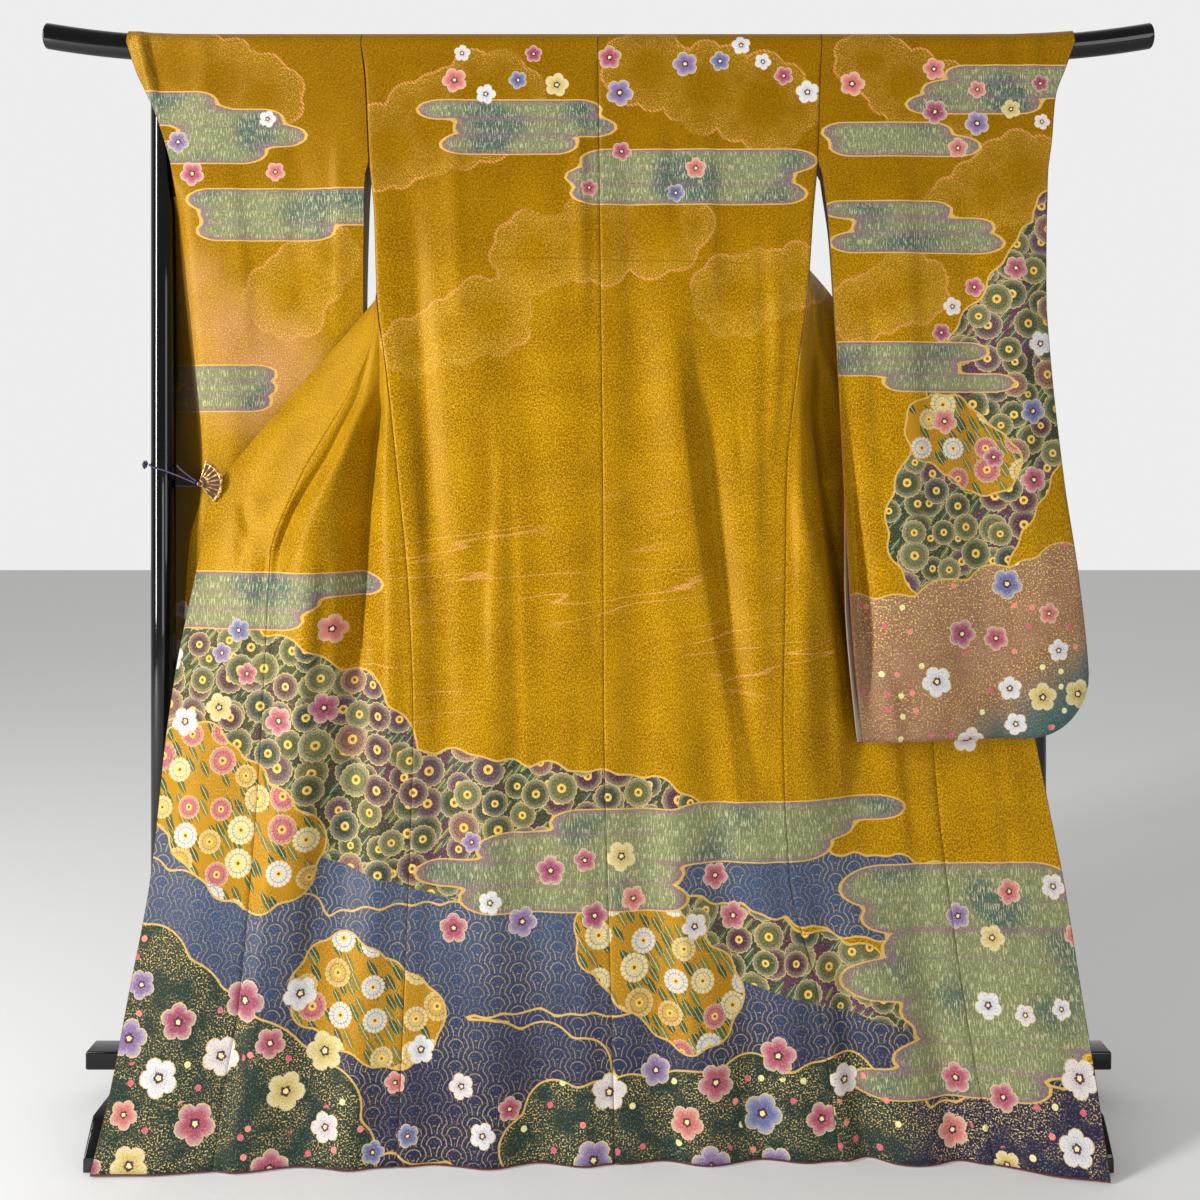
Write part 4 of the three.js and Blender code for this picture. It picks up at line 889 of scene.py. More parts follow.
def waves(silk, x, z, radius):
    """Rows of overlapping arcs, the blue-sea-waves pattern: how near a point is to an arc's line."""
    lines, taken = 0.0, None
    row = silk.math("FLOOR", z / (radius / 2))
    for k in range(3):
        which = row - k
        shift = silk.math("PINGPONG", which, 1.0) * radius
        dx = silk.math("WRAP", x - shift, radius, -radius)
        out = silk.far(dx, z - which * (radius / 2)) / radius
        inside = silk.step(out, 1.001, 0.999)
        arcs = silk.math("PINGPONG", out, 0.125) * 8
        line = silk.step(arcs, 0.72, 0.92) * silk.step(out, 0.2, 0.3)
        free = inside if taken is None else inside * (1 - taken)
        lines = line * free + lines
        taken = inside if taken is None else silk.greatest(taken, inside)
    return lines


def silk_finish():
    """Gold figured satin, dyed and painted, its outlines couched in gold thread."""
    silk = Finish("figured_silk")
    across, down = silk.sheet_map("cloth")
    x, z = silk.sheet_map("design")
    place = silk.flat(x, z)
    weave = silk.flat(across, down)
    parts = {name: silk.given(name) for name in SHAPES}
    # two banks run on into the bottom corners of the left front and of the right sleeve
    in_front_corner = silk.greatest(x + 0.54, z - 0.07)
    in_sleeve_corner = silk.greatest(z - 0.60, parts["copper"] - 0.2)
    parts["hem"] = silk.math("MINIMUM", parts["hem"], in_front_corner)
    parts["copper"] = silk.math("MINIMUM", parts["copper"], in_sleeve_corner)

    def inside(name):
        return silk.step(parts[name], 0.0004, -0.0004)

    def speckle(per_metre, detail, low, high):
        return silk.step(silk.noise(place, per_metre, detail), low, high)

    def paint(above, share):
        nonlocal colour
        colour = silk.blend(colour, above, share)

    def paint_bank(name, above, share=None, thread=0.0016):
        """Paints the cloth inside a bank and couches gold thread along its outline."""
        paint(above, share or inside(name))
        paint(ink(205, 165, 85), silk.step(abs(parts[name]), thread, thread * 0.5))

    # the damask's figure: small matt leaves on a glossy ground
    leaf_x, leaf_z, *_ = cells(silk, across, down, 0.0036, 1.0)
    wobble = silk.noise(weave, 560, 1)
    figure = silk.step(silk.far(leaf_x, leaf_z) * 270 + wobble * 0.9, 0.58, 1.0)
    grain = silk.noise(silk.flat(across * 1.3, down), 400, 3)
    mottle = silk.noise(weave, 16, 2)
    colour = silk.blend(ink(126, 83, 0), ink(176, 130, 0), silk.step(mottle, 0.3, 0.7) * 0.3 + figure * 0.7)
    paint(ink(226, 180, 44), silk.step(grain, 0.54, 0.66) * 0.6)
    paint(ink(92, 52, 0), silk.step(grain, 0.46, 0.34) * 0.55)
    # painted shade: the gold is darker towards the shoulders
    paint(ink(112, 74, 0), silk.step(z, 0.95, 1.42) * 0.62)

    # gold dust and stitched cloud outlines over the shoulders
    cloud = parts["cloud"]
    dust = speckle(540, 1, 0.56, 0.66)
    rim = silk.step(cloud, -0.034, 0.0) * silk.step(cloud, 0.001, -0.001)
    paint(ink(240, 196, 96), rim * silk.level(0.04, 0.55, dust))
    stitches = speckle(7, 1, 0.40, 0.48) * silk.step(silk.math("SINE", (x + z) * 1100), -0.7, -0.1)
    paint(ink(206, 142, 78), silk.step(abs(cloud), 0.0022, 0.0012) * stitches * 0.85)

    # faint drawn wisps across the middle
    wisp = silk.noise(silk.flat(x * 2.2 + z, z * 26 - x * 3.4), 1.0, 2)
    patches = silk.step(silk.noise(silk.flat(x * 3.4, z * 9), 1.0, 1), 0.49, 0.58)
    band = silk.step(abs(z - 0.69), 0.20, 0.05) * patches
    dusty = silk.level(0.25, 1.0, silk.step(grain, 0.44, 0.56))
    paint(ink(226, 160, 92), silk.step(abs(wisp - 0.5), 0.014, 0.004) * band * dusty * 0.8)

    # peach shading on the left sleeve
    paint(silk.blend(ink(178, 124, 78), ink(228, 186, 124), dust), silk.step(parts["peach"], 0.03, -0.06) * 0.8)

    # deep green banks of chrysanthemums and leaves
    deep = silk.blend(ink(44, 60, 44), ink(86, 50, 78), speckle(7, 2, 0.42, 0.60))
    greens = [(46, 68, 48), (82, 60, 78), (92, 98, 58), (70, 38, 62), (38, 60, 60), (58, 76, 48)]
    warmer = greens[2:] + [(124, 84, 78), (102, 108, 72)]
    grove = leaves(silk, deep, x, z, 0.022, [(70, 96, 62), (60, 88, 76), (104, 110, 66)], 0.9)
    grove = chrysanthemums(silk, grove, x + 0.31, z + 0.017, 0.040, greens, 0.58)
    paint_bank("grove", chrysanthemums(silk, grove, x, z + 0.011, 0.050, warmer, 0.46))

    # blue water in rows of waves, drawn fainter here and there, that also fills in down to the hem
    sea = silk.blend(ink(50, 74, 108), ink(20, 36, 72), silk.step(z, 0.34, 0.04))
    drawn = waves(silk, x, z, 0.026) * silk.level(0.25, 0.75, speckle(11, 2, 0.35, 0.65))
    below_shore = silk.step(z + x * 0.28, 0.270, 0.268)
    paint_bank("water", silk.blend(sea, ink(184, 156, 96), drawn), silk.greatest(inside("water"), below_shore))

    # gold banks crowded with pale chrysanthemums
    brocade = leaves(silk, ink(170, 122, 22), x, z, 0.026, [(80, 88, 44), (120, 110, 52), (54, 76, 52)], 2.1)
    pale = [(214, 200, 150), (196, 158, 76), (204, 200, 194), (184, 98, 106), (206, 180, 114)]
    paint_bank("brocade", chrysanthemums(silk, brocade, x, z, 0.043, pale, 0.47))

    # copper bank with a teal corner on the right sleeve, thick with gold dust
    copper = silk.blend(ink(122, 84, 62), ink(160, 122, 98), silk.noise(place, 22, 2))
    thick = speckle(420, 1, 0.58, 0.64) * silk.step(parts["copper"], -0.13, 0.0)
    copper = silk.blend(copper, ink(238, 200, 110), thick)
    copper = silk.blend(copper, ink(48, 92, 96), silk.step(parts["corner"], 0.05, -0.03))
    paint_bank("copper", copper)

    # teal banks along the hem, navy at the right, with drifts of gold dust
    teal = silk.blend(ink(12, 48, 48), ink(20, 30, 66), silk.step(x, 0.36, 0.44))
    powder = speckle(26, 2, 0.40, 0.56) * silk.step(parts["hem"], -0.16, -0.03)
    paint_bank("hem", silk.blend(teal, ink(206, 178, 112), speckle(460, 1, 0.56, 0.64) * powder))

    # bars of mist: sage and teal with cream strokes, mauve at the rim
    stroke = silk.noise(silk.flat(x * 640, z * 95), 1.0, 2)
    mist = silk.blend(ink(118, 126, 88), ink(68, 94, 86), speckle(9, 1, 0.50, 0.66))
    mist = silk.blend(mist, ink(200, 194, 150), silk.step(stroke, 0.52, 0.64) * 0.7)
    mist = silk.blend(mist, ink(126, 96, 112), silk.step(parts["mist"], -0.009, -0.001) * 0.75)
    paint_bank("mist", mist, thread=0.0012)

    # painted shade: a thin dark line where the tuck is taken up across the back
    tuck_painted_shade = silk.step(abs(z - 1.170 + x * 0.02), 0.0011, 0.0004) * silk.step(abs(x - 0.03), 0.19, 0.16)
    paint(ink(112, 74, 6), tuck_painted_shade * 0.5)

    # ruffled blossoms
    middle_x, middle_z, radius = silk.split(silk.given("blossom", "Vector"))
    kind = silk.given("blossom_kind")
    blossom_x, blossom_z = (x - middle_x) / radius, (z - middle_z) / radius
    out, angle, _ = petals(silk, blossom_x, blossom_z, 5, 0.30, kind * 9.0)
    out = out + (silk.noise(place, 300, 1) - 0.5) * 0.14
    flower = colours_by(silk, kind, [(168, 82, 100), (206, 206, 208), (128, 108, 150), (196, 112, 104),
                                     (208, 198, 196), (152, 70, 98), (98, 106, 150), (200, 182, 112)])
    flower = silk.blend(flower, ink(226, 220, 212), silk.step(out, 0.50, 0.98) * 0.35)
    veins = silk.step(abs(silk.math("SINE", angle * 12.5)), 0.5, 0.2) * silk.step(out, 0.62, 0.30)
    flower = silk.blend(flower, ink(96, 40, 76), veins * 0.8)
    for tint, low, high in (((70, 34, 70), 0.30, 0.24), ((240, 222, 150), 0.15, 0.12), ((206, 184, 132), 0.90, 0.94)):
        flower = silk.blend(flower, ink(*tint), silk.step(out, low, high))
    paint(flower, silk.step(out, 1.0, 0.96))

    # dots between the blossoms
    dot_x, dot_z, dot_kind, present = cells(silk, x, z, 0.028, 1.0)
    dots = silk.step(silk.far(dot_x, dot_z), 0.0042, 0.0036) * silk.step(present, 0.52, 0.53)
    dots = dots * silk.step(silk.far(blossom_x, blossom_z), 1.1, 1.2)
    paint(colours_by(silk, dot_kind, [(226, 132, 122), (226, 222, 152), (200, 96, 110)]),
          dots * silk.greatest(inside("hem"), inside("copper")))

    # the grain shows in the printed parts too, and the seams lie in shade
    printed = silk.greatest(*[inside(name) for name in ("grove", "hem", "water", "copper", "mist")])
    paint(ink(20, 20, 24), silk.step(grain, 0.48, 0.36) * printed * 0.34)
    paint(ink(226, 218, 190), silk.step(grain, 0.56, 0.68) * printed * 0.22)
    paint(ink(66, 40, 8), silk.step(silk.given("seam"), 0.0012, 0.0003) * 0.8)
    roughness = silk.level(0.36, 0.52, figure) + printed * 0.08
    return silk.finish(colour, roughness, grain, 0.00018, sheen_weight=0.08, sheen_roughness=0.4,
                       sheen_tint=ink(255, 214, 120), specular_ior_level=0.32,
                       specular_tint=ink(255, 208, 110))


def lining_finish():
    """Plain weave silk, silver grey with a trace of brown."""
    silk = Finish("silver_lining")
    across, down = silk.sheet_map("cloth")
    slub = silk.noise(silk.flat(across * 4, down), 420, 3)
    cloudy = silk.noise(silk.flat(across, down), 8, 2)
    colour = silk.blend(silk.blend(ink(120, 110, 94), ink(164, 152, 134), cloudy), ink(186, 176, 158), slub * 0.4)
    return silk.finish(colour, silk.level(0.5, 0.62, slub), slub, 0.0002, sheen_weight=0.2)


def edge_finish():
    """The turned edge of lining that shows along the cloth's open ends."""
    silk = Finish("russet_edge")
    slub = silk.noise(silk.solid(), 300, 2)
    return silk.finish(silk.blend(ink(96, 42, 12), ink(150, 80, 26), slub), 0.6)


FINISHES["silk"] = silk_finish()
FINISHES["lining"] = lining_finish()
FINISHES["edge"] = edge_finish()

ROW_PITCH = 7.0
heights_up = np.linspace(HEM, RAIL_HEIGHT, round((RAIL_HEIGHT - HEM) / ROW_PITCH) + 1)
heights_down = heights_up[::-1]


def lengths_down(points):
    """How far down the cloth each row of a grid lies."""
    return np.concatenate([[0], np.cumsum(np.linalg.norm(np.diff(points, axis=0), axis=2).mean(1))])


def up_to_rail(points, z, at_rail):
    """Bends the top rows of a hanging side so that they run up to their line on the rail."""
    rise = np.clip((z - TURN_TOP) / (RAIL_HEIGHT - TURN_TOP), 0, 1)[..., None]
    return np.where(rise > 0, mix(points, at_rail, rise), points)


def body_length(name, side):
    neck = shares_across(NECK_SHARE * BODY_WIDTH)[:-4] * NECK_SHARE
    front_share = shares_across((1 - NECK_SHARE) * BODY_WIDTH)
    share = np.concatenate([neck, NECK_SHARE + (1 - NECK_SHARE) * front_share])
    back = back_point(side, BACK_FOLDS[name], share[None, :], heights_up[:, None])
    angles = np.sort(np.append(np.linspace(0, 180, 16)[1:-1], NECK_ANGLE))[:, None]
    at_rail = back_point(side, [], share, np.full_like(share, RAIL_HEIGHT))[None, :, 0]
    wrap = round_the_rail(at_rail, angles)
    front = front_point(side, FRONT_FOLDS[name], np.append(0 * neck, front_share)[None, :],
                        np.minimum(heights_down, TURN_TOP)[:, None])
    front = up_to_rail(front, heights_down[:, None], round_the_rail(at_rail, 180.0))
    points = np.concatenate([back, wrap, front])
    cut = np.concatenate([np.zeros(len(back)), angles[:, 0], np.full(len(front), 180)])
    present = (cut[:, None] < NECK_ANGLE + 0.1) | (np.arange(len(share)) >= len(neck))[None, :]
    design = points[..., [0, 2]].copy()
    from_rail = OVER_RAIL * np.radians(np.minimum(angles, 180 - angles))
    design[len(back):-len(front), :, 1] = RAIL_HEIGHT + from_rail
    cloth = np.stack(np.broadcast_arrays(share[None, :] * BODY_WIDTH, lengths_down(points)[:, None]), -1)
    quads = grid_quads(*points.shape[:2], present)
    if side is LEFT:
        quads = quads[:, ::-1]
    piece = cloth_piece(f"body_{name}", points.reshape(-1, 3), quads,
                        cloth.reshape(-1, 2), design.reshape(-1, 2))


body_length("left", LEFT)
body_length("right", RIGHT)


# ---- Left and right okumi ----
# The narrow overlap panel sewn along each front, from the hem up to its tip under the collar.
OKUMI_FOLDS = {"left": [(0.5, 0.5, 0.25, 0, 3, 4)], "right": [(0.5, 0.45, 0.25, 0, 2, 6)]}
OKUMI_WIDTH = 160


def okumi_point(side, folds, share, z):
    edge_x, edge_reach = front_line(side, "edge", z)
    seam_x, seam_reach = front_line(side, "seam", z)
    along_x, along_reach = across_front(side, z)
    gap = half_okumi_gap(z)
    to_x, to_reach = seam_x + gap * along_x, seam_reach + gap * along_reach
    sag = smooth(z, 500, 800) * (1 - smooth(z, 1000, 1120)) if side is LEFT else 0
    reach = mix(edge_reach, to_reach, mix(share, share**2, sag)) + fold_height(folds, share, z, SIDE_SEAM_TOP)
    x = mix(edge_x, to_x, share)
    away = smooth(share, 0.3, 0.5) * smooth(1 - share, 0, 0.08)
    creases = crease_height(x, z) * away * (1 - smooth(z, 900, 1010))
    creases = creases + stitched_dip(np.maximum(share, 0.5), OKUMI_WIDTH) * (1 - smooth(z, 1000, 1080))
    return points_of(x, reach + creases, z)


for name, side in (("left", LEFT), ("right", RIGHT)):
    share = shares_across(OKUMI_WIDTH)
    heights = np.linspace(OKUMI_TOP, HEM, round((OKUMI_TOP - HEM) / ROW_PITCH) + 1)
    points = okumi_point(side, OKUMI_FOLDS[name], share[None, :], heights[:, None])
    cloth = np.stack(np.broadcast_arrays(share[None, :] * OKUMI_WIDTH, lengths_down(points)[:, None]), -1)
    quads = grid_quads(*points.shape[:2])
    if side is LEFT:
        quads = quads[:, ::-1]
    okumi = cloth_piece(f"okumi_{name}", points.reshape(-1, 3), quads,
                        cloth.reshape(-1, 2), points[..., [0, 2]].reshape(-1, 2))


# ---- Left and right sleeves ----
# Each is one length folded over the rail, sewn down its outer edge below the cuff, rounded at the
# outer corner and closed at the bottom. Near is the layer in front of the rail, far the one behind.
CUFF_BOTTOM, SLEEVE_BOTTOM, SLEEVE_CORNER, SLEEVE_WIDTH = 1265, 515, 85, 335
SLEEVE_LEFT = {
    "body": LEFT,
    "lip": (0, 0),  # how far the far layer's inner edge looks out past the near one, high up and low down
    "inner": [(1315, -323), (1249, -327), (1100, -331), (515, -335)],
    "outer_near": [(1494, -664), (1453, -654), (1397, -628), (1337, -607), (1300, -598), (1207, -588), (1118, -580),
                   (1022, -573), (900, -566), (840, -569), (780, -584), (640, -592), (515, -592)],
    "outer_far": [(1494, -664), (1453, -654), (1397, -632), (1337, -620), (1300, -614), (1265, -612), (515, -612)],
    # height, then the reach of the near layer's inner and outer edge and of the far layer's
    "reach": [(1474, OVER_RAIL, OVER_RAIL, -OVER_RAIL, -OVER_RAIL), (1315, 22, 20, -OVER_RAIL, -20),
              (1240, 20, 19, -20, -21), (860, -14, -14, -28, -28), (515, -16, -16, -29, -29)],
    "folds": [(0.22, 0.25, 0.12, 0, 3, 3), (0.55, 0.50, 0.14, 0, -3, -3), (0.80, 0.78, 0.10, 0, 4, 3)],
    # soft rolls under the rail: x at the rail and at the foot, width to the left and right, height
    "roll": [(-644, -620, 11, 5, 9), (-560, -548, 16, 12, 2)],
}
SLEEVE_RIGHT = {
    "body": RIGHT,
    "lip": (-5, 5),
    "inner": [(1315, 309), (1224, 318), (1117, 323), (951, 330), (783, 336), (645, 342), (515, 352)],
    "outer_near": [(1494, 671), (1454, 659), (1401, 639), (1336, 632), (1290, 626), (1118, 622), (1046, 626),
                   (865, 643), (730, 661), (600, 672), (515, 674)],
    "outer_far": [(1494, 671), (1454, 655), (1425, 628), (1400, 600), (1370, 587), (1340, 584), (1315, 587),
                  (1290, 603), (1265, 624), (1118, 622), (1046, 626), (865, 643), (730, 661), (600, 672), (515, 674)],
    "reach": [(1474, OVER_RAIL, OVER_RAIL, -OVER_RAIL, -OVER_RAIL), (1400, 25, 23, -OVER_RAIL, -21),
              (1370, 28, 25, -OVER_RAIL, -15), (1340, 30, 27, -OVER_RAIL, 0), (1315, 33, 28, -OVER_RAIL, 14),
              (1265, 38, 31, -6, 21.5), (1122, 52, 38, 19, 25), (1000, 63, 42, 36, 29), (860, 76, 49, 54, 36),
              (700, 91, 57, 73, 44), (515, 108, 66, 95, 53)],
    "folds": [(0.25, 0.30, 0.13, 0, 4, 3), (0.55, 0.58, 0.14, 0, -4, -4), (0.82, 0.84, 0.10, 0, 4, 2)],
    "roll": [(560, 556, 12, 14, 2), (610, 606, 12, 9, 2.5), (430, 436, 14, 12, 1.5)],
}
ROLL_FOOT = 1395
CORNER_START = 0.72  # the share of the width at which the bottom begins to round
PINCH, PINCH_WIDTH = 0.75, 9  # how far the two layers draw together at their seam, and how soon


def sleeve_corner_height(share):
    turn = np.clip((share - CORNER_START) / (1 - CORNER_START), 0, 1)
    return SLEEVE_BOTTOM + SLEEVE_CORNER * (1 - np.sqrt(1 - turn**2))


def sleeve_point(sleeve, layer, share, row):
    body, sign = sleeve["body"], sleeve["body"]["sign"]
    short = (CUFF_BOTTOM - row) * (CUFF_BOTTOM - sleeve_corner_height(share)) / (CUFF_BOTTOM - SLEEVE_BOTTOM)
    z = np.where(row > CUFF_BOTTOM, row, CUFF_BOTTOM - short)
    lip = mix(*sleeve["lip"][::-1], smooth(z, 660, 900)) * (layer == "far")
    sewn_x = curve_at(body["back"], z) + sign * SEAM_GAP / 2
    at_armhole = smooth(z, ARMHOLE_BOTTOM - 25, ARMHOLE_BOTTOM)
    inner = mix(curve_at(sleeve["inner"], z) - sign * lip, sewn_x, at_armhole)
    outer = curve_at(sleeve[f"outer_{layer}"], z)
    columns = (1, 2) if layer == "near" else (3, 4)
    hung = mix(*[curve_at(sleeve["reach"], z, column) for column in columns], share)
    sewn = back_reach(body["hem_reach"], z) if layer == "near" else -OVER_RAIL
    at_seam = (1 - smooth(share, 0, 0.35)) * smooth(z, ARMHOLE_BOTTOM - 120, ARMHOLE_BOTTOM)
    x = mix(inner, outer, share)
    creases = crease_height(x, z) * eased(share, 0.05, 0.05) * (1 - smooth(z, 1380, TURN_TOP))
    reach = mix(hung, sewn, at_seam) + fold_height(sleeve["folds"], share, z, RAIL_HEIGHT) + creases
    return points_of(x, reach, z)


def sleeve_tube(name, sleeve):
    sign = sleeve["body"]["sign"]
    share = shares_across(SLEEVE_WIDTH)
    rows = np.linspace(SLEEVE_BOTTOM, RAIL_HEIGHT, round((RAIL_HEIGHT - SLEEVE_BOTTOM) / ROW_PITCH) + 1)
    inner_x = curve_at(sleeve["body"]["back"], RAIL_HEIGHT) + sign * SEAM_GAP / 2
    at_rail = mix(inner_x, curve_at(sleeve["outer_near"], RAIL_HEIGHT + rail_rise(700)), share)[None, :]
    angles = np.linspace(0, 180, 16)[1:-1, None]
    layers = {}
    for layer, degrees in (("near", 0.0), ("far", 180.0)):
        hanging = sleeve_point(sleeve, layer, share[None, :], np.minimum(rows, TURN_TOP)[:, None])
        layers[layer] = up_to_rail(hanging, rows[:, None], round_the_rail(at_rail, degrees))
    near, far = layers["near"], layers["far"]
    # Near and far draw together towards the seam down the outer edge and along the bottom.
    edge = np.exp(-(1 - share) * SLEEVE_WIDTH / PINCH_WIDTH)[None, :]
    edge = edge * smooth(CUFF_BOTTOM + 40 - rows, 0, 80)[:, None]
    foot = np.exp(-(rows - SLEEVE_BOTTOM) / PINCH_WIDTH)[:, None] + 0 * share[None, :]
    pinch = PINCH * np.maximum(edge, foot)
    middle = (near[..., 1] + far[..., 1]) / 2
    near[..., 1], far[..., 1] = mix(near[..., 1], middle, pinch), mix(far[..., 1], middle, pinch)
    wrap = round_the_rail(at_rail, angles)
    points = np.concatenate([near, wrap, far[::-1]])
    for high, low, left, right, top in sleeve["roll"]:
        aside = points[..., 0] - np.interp(points[..., 2], [ROLL_FOOT, 1500], [low, high])
        roll = top * np.exp(-((aside / np.where(aside < 0, left, right)) ** 2))
        roll = roll * smooth(points[..., 2], ROLL_FOOT - 20, ROLL_FOOT + 35)
        points[..., 1] += roll * np.clip(points[..., 1] / OVER_RAIL, 0, 1)
    design = points[..., [0, 2]].copy()
    design[len(near):-len(far), :, 1] = (RAIL_HEIGHT + rail_rise(at_rail)
                                         + OVER_RAIL * np.radians(np.minimum(angles, 180 - angles)))
    cloth = np.stack(np.broadcast_arrays(share[None, :] * SLEEVE_WIDTH, lengths_down(points)[:, None]), -1)
    count, columns = points.shape[:2]
    index = np.arange(count * columns).reshape(count, columns)
    closed = np.flatnonzero(rows <= CUFF_BOTTOM)
    side_near, side_far = index[closed, -1], index[count - 1 - closed, -1]
    side_strip = np.stack([side_near[:-1], side_far[:-1], side_far[1:], side_near[1:]], -1)
    bottom_strip = np.stack([index[-1, :-1], index[-1, 1:], index[0, 1:], index[0, :-1]], -1)
    quads = np.concatenate([grid_quads(count, columns), side_strip, bottom_strip])
    if sign < 0:
        quads = quads[:, ::-1]
    piece = cloth_piece(f"sleeve_{name}", points.reshape(-1, 3), quads,
                        cloth.reshape(-1, 2), design.reshape(-1, 2), printed=name)


sleeve_tube("left", SLEEVE_LEFT)
sleeve_tube("right", SLEEVE_RIGHT)


# ---- Collar ----
# One doubled band, sewn round the back of the neck and down both fronts. It stands out from the
# edge at the neck and lies folded behind the front's edge further down.
COLLAR_WIDTH, COLLAR_BOTTOM = 44, 860
# x of the sewn and the free edge as shares of the neck's half width, and their heights on the rail
NECK_STATIONS = [(0.98, 0.60, 0, -28), (0.98, 0.57, 8, -25), (0.98, 0.54, 16, -22), (0.98, 0.50, 24, -20),
                 (0.66, 0.34, 24, -20), (0.33, 0.17, 24, -20), (0, 0, 24, -20)]


def behind_front(z):
    """How far the middle of the folded collar lies behind the middle of the okumi."""
    return CLOTH + 1.2 + 1.5 * smooth(z, 990, 1050)


def collar_along_front(side, folds, part, z):
    out_x, out_reach = front_outward(side, z)
    along_x, along_reach = across_front(side, z)
    seam_x, seam_reach = front_line(side, "seam", z)
    edge_x, edge_reach = front_line(side, "edge", z)
    behind = behind_front(z)
    okumi_width = np.hypot(seam_x - edge_x, seam_reach - edge_reach)
    share = np.minimum(COLLAR_WIDTH / np.maximum(okumi_width, 1), 0.9)
    low = okumi_point(side, folds, share * mix(0.02, 1, part), z)
    low = low - points_of(out_x * behind, out_reach * behind, 0)
    upper = smooth(z, OKUMI_TOP, OKUMI_TOP + 22)
    sewn_x, sewn_reach = mix(edge_x, seam_x, upper), mix(edge_reach, seam_reach, upper)
    side_x, side_reach = front_line(side, "side", z)
    width = np.minimum(COLLAR_WIDTH, 0.75 * np.hypot(sewn_x - side_x, sewn_reach - side_reach))
    fold = np.pi * (1 - smooth(z, SIDE_SEAM_TOP, 1240))
    folded = (1 - np.cos(fold)) / 2
    outwards = SEAM_GAP * (1 - folded) + CLOTH / 2 * np.sin(fold)
    start_x = sewn_x + along_x * outwards - out_x * behind * folded
    start_reach = sewn_reach + along_reach * outwards - out_reach * behind * folded
    step_x = along_x * np.cos(fold) - out_x * np.sin(fold)
    step_reach = along_reach * np.cos(fold) - out_reach * np.sin(fold)
    high = points_of(start_x + step_x * part * width, start_reach + step_reach * part * width, z)
    return np.where((z <= SIDE_SEAM_TOP)[..., None], low, high)


def collar_at_neck(half_width, stations, part):
    sewn, free, sewn_height, free_height = (np.asarray(column)[:, None] for column in zip(*stations))
    x = half_width * mix(sewn, free, part)
    height = mix(sewn_height, free_height, part)
    round_rail = round_the_rail(x, 180 - np.degrees(np.maximum(height, 0) / OVER_RAIL))
    below = points_of(x, -OVER_RAIL, RAIL_HEIGHT + height)
    return np.where((height > 0)[..., None], round_rail, below)


def between(rows, steps):
    """Rows of a table with more rows set evenly between each two."""
    rows, shares = np.array(rows, float), np.linspace(0, 1, steps + 1)[1:, None]
    return np.concatenate([rows[:1]] + [mix(a, b, shares) for a, b in zip(rows, rows[1:])])


part = np.array([0, 0.05, 0.12, 0.22, 0.34, 0.46, 0.545, 0.66, 0.78, 0.88, 0.95, 1])[None, :]
collar_heights = np.arange(COLLAR_BOTTOM, TURN_TOP + 1, 5.0)[:, None]
halves = []
for name, side in (("left", LEFT), ("right", RIGHT)):
    half_width = side["sign"] * abs(back_point(side, [], NECK_SHARE, RAIL_HEIGHT)[0])
    along = collar_along_front(side, OKUMI_FOLDS[name], part, collar_heights)
    neck_rows = collar_at_neck(half_width, between(NECK_STATIONS, 4), part)
    rising = mix(along[-1], neck_rows[0], np.linspace(0, 1, 8)[1:-1, None, None])
    halves.append(np.concatenate([along, rising, neck_rows]))
points = np.concatenate([halves[0], halves[1][::-1][1:]])
cloth = np.stack(np.broadcast_arrays(part * COLLAR_WIDTH, lengths_down(points)[:, None]), -1)
collar = cloth_piece("collar", points.reshape(-1, 3), grid_quads(*points.shape[:2])[:, ::-1],
                     cloth.reshape(-1, 2), points[..., [0, 2]].reshape(-1, 2))


# ---- Hem rolls ----
# The lining is turned out round a thin padded roll that shows as a narrow dark red line under the hem.
ROLL_HALF_DEPTH, ROLL_TOP, ROLL_BOTTOM, ROLL_SIDES = 1.5, HEM - SEAM_GAP, 2.2, 8


def hem_lining_finish():
    silk = Finish("red_hem_lining")
    slub = silk.noise(silk.solid(), 260, 3)
    colour = silk.blend(ink(58, 20, 22), ink(112, 38, 38), slub)
    return silk.finish(colour, 0.6, slub, 0.0003, sheen_weight=0.1)


FINISHES["hem_lining"] = hem_lining_finish()
for name, side in (("left", LEFT), ("right", RIGHT)):
    even = np.linspace(0, 1, 40)
    path = np.concatenate([
        okumi_point(side, OKUMI_FOLDS[name], even, HEM), front_point(side, FRONT_FOLDS[name], even, HEM),
        back_point(side, BACK_FOLDS[name], even[::-1], HEM),
    ])
    path = path[np.append(True, np.linalg.norm(np.diff(path, axis=0), axis=1) > 1.5)]
    along = np.gradient(path, axis=0)
    away = np.stack([-along[:, 1], along[:, 0]], -1)
    away /= np.linalg.norm(away, axis=1)[:, None]
    middle, half = (ROLL_TOP + ROLL_BOTTOM) / 2, (ROLL_TOP - ROLL_BOTTOM) / 2
    roll = bmesh.new()
    loops = []
    for a in np.linspace(0, 2 * np.pi, ROLL_SIDES, endpoint=False):
        beside = path[:, :2] + away * ROLL_HALF_DEPTH * np.cos(a)
        loops.append([spot(*place, middle + half * np.sin(a)) for place in beside])
    loops = [[roll.verts.new(loop[i]) for loop in loops] for i in range(len(path))]
    bridge(roll, loops)
    roll.faces.new(loops[0][::-1])
    roll.faces.new(loops[-1])
    bmesh.ops.recalc_face_normals(roll, faces=roll.faces[:])
    solid_piece(f"hem_roll_{name}_silk", roll, FINISHES["hem_lining"], f"hem_roll_{name}")
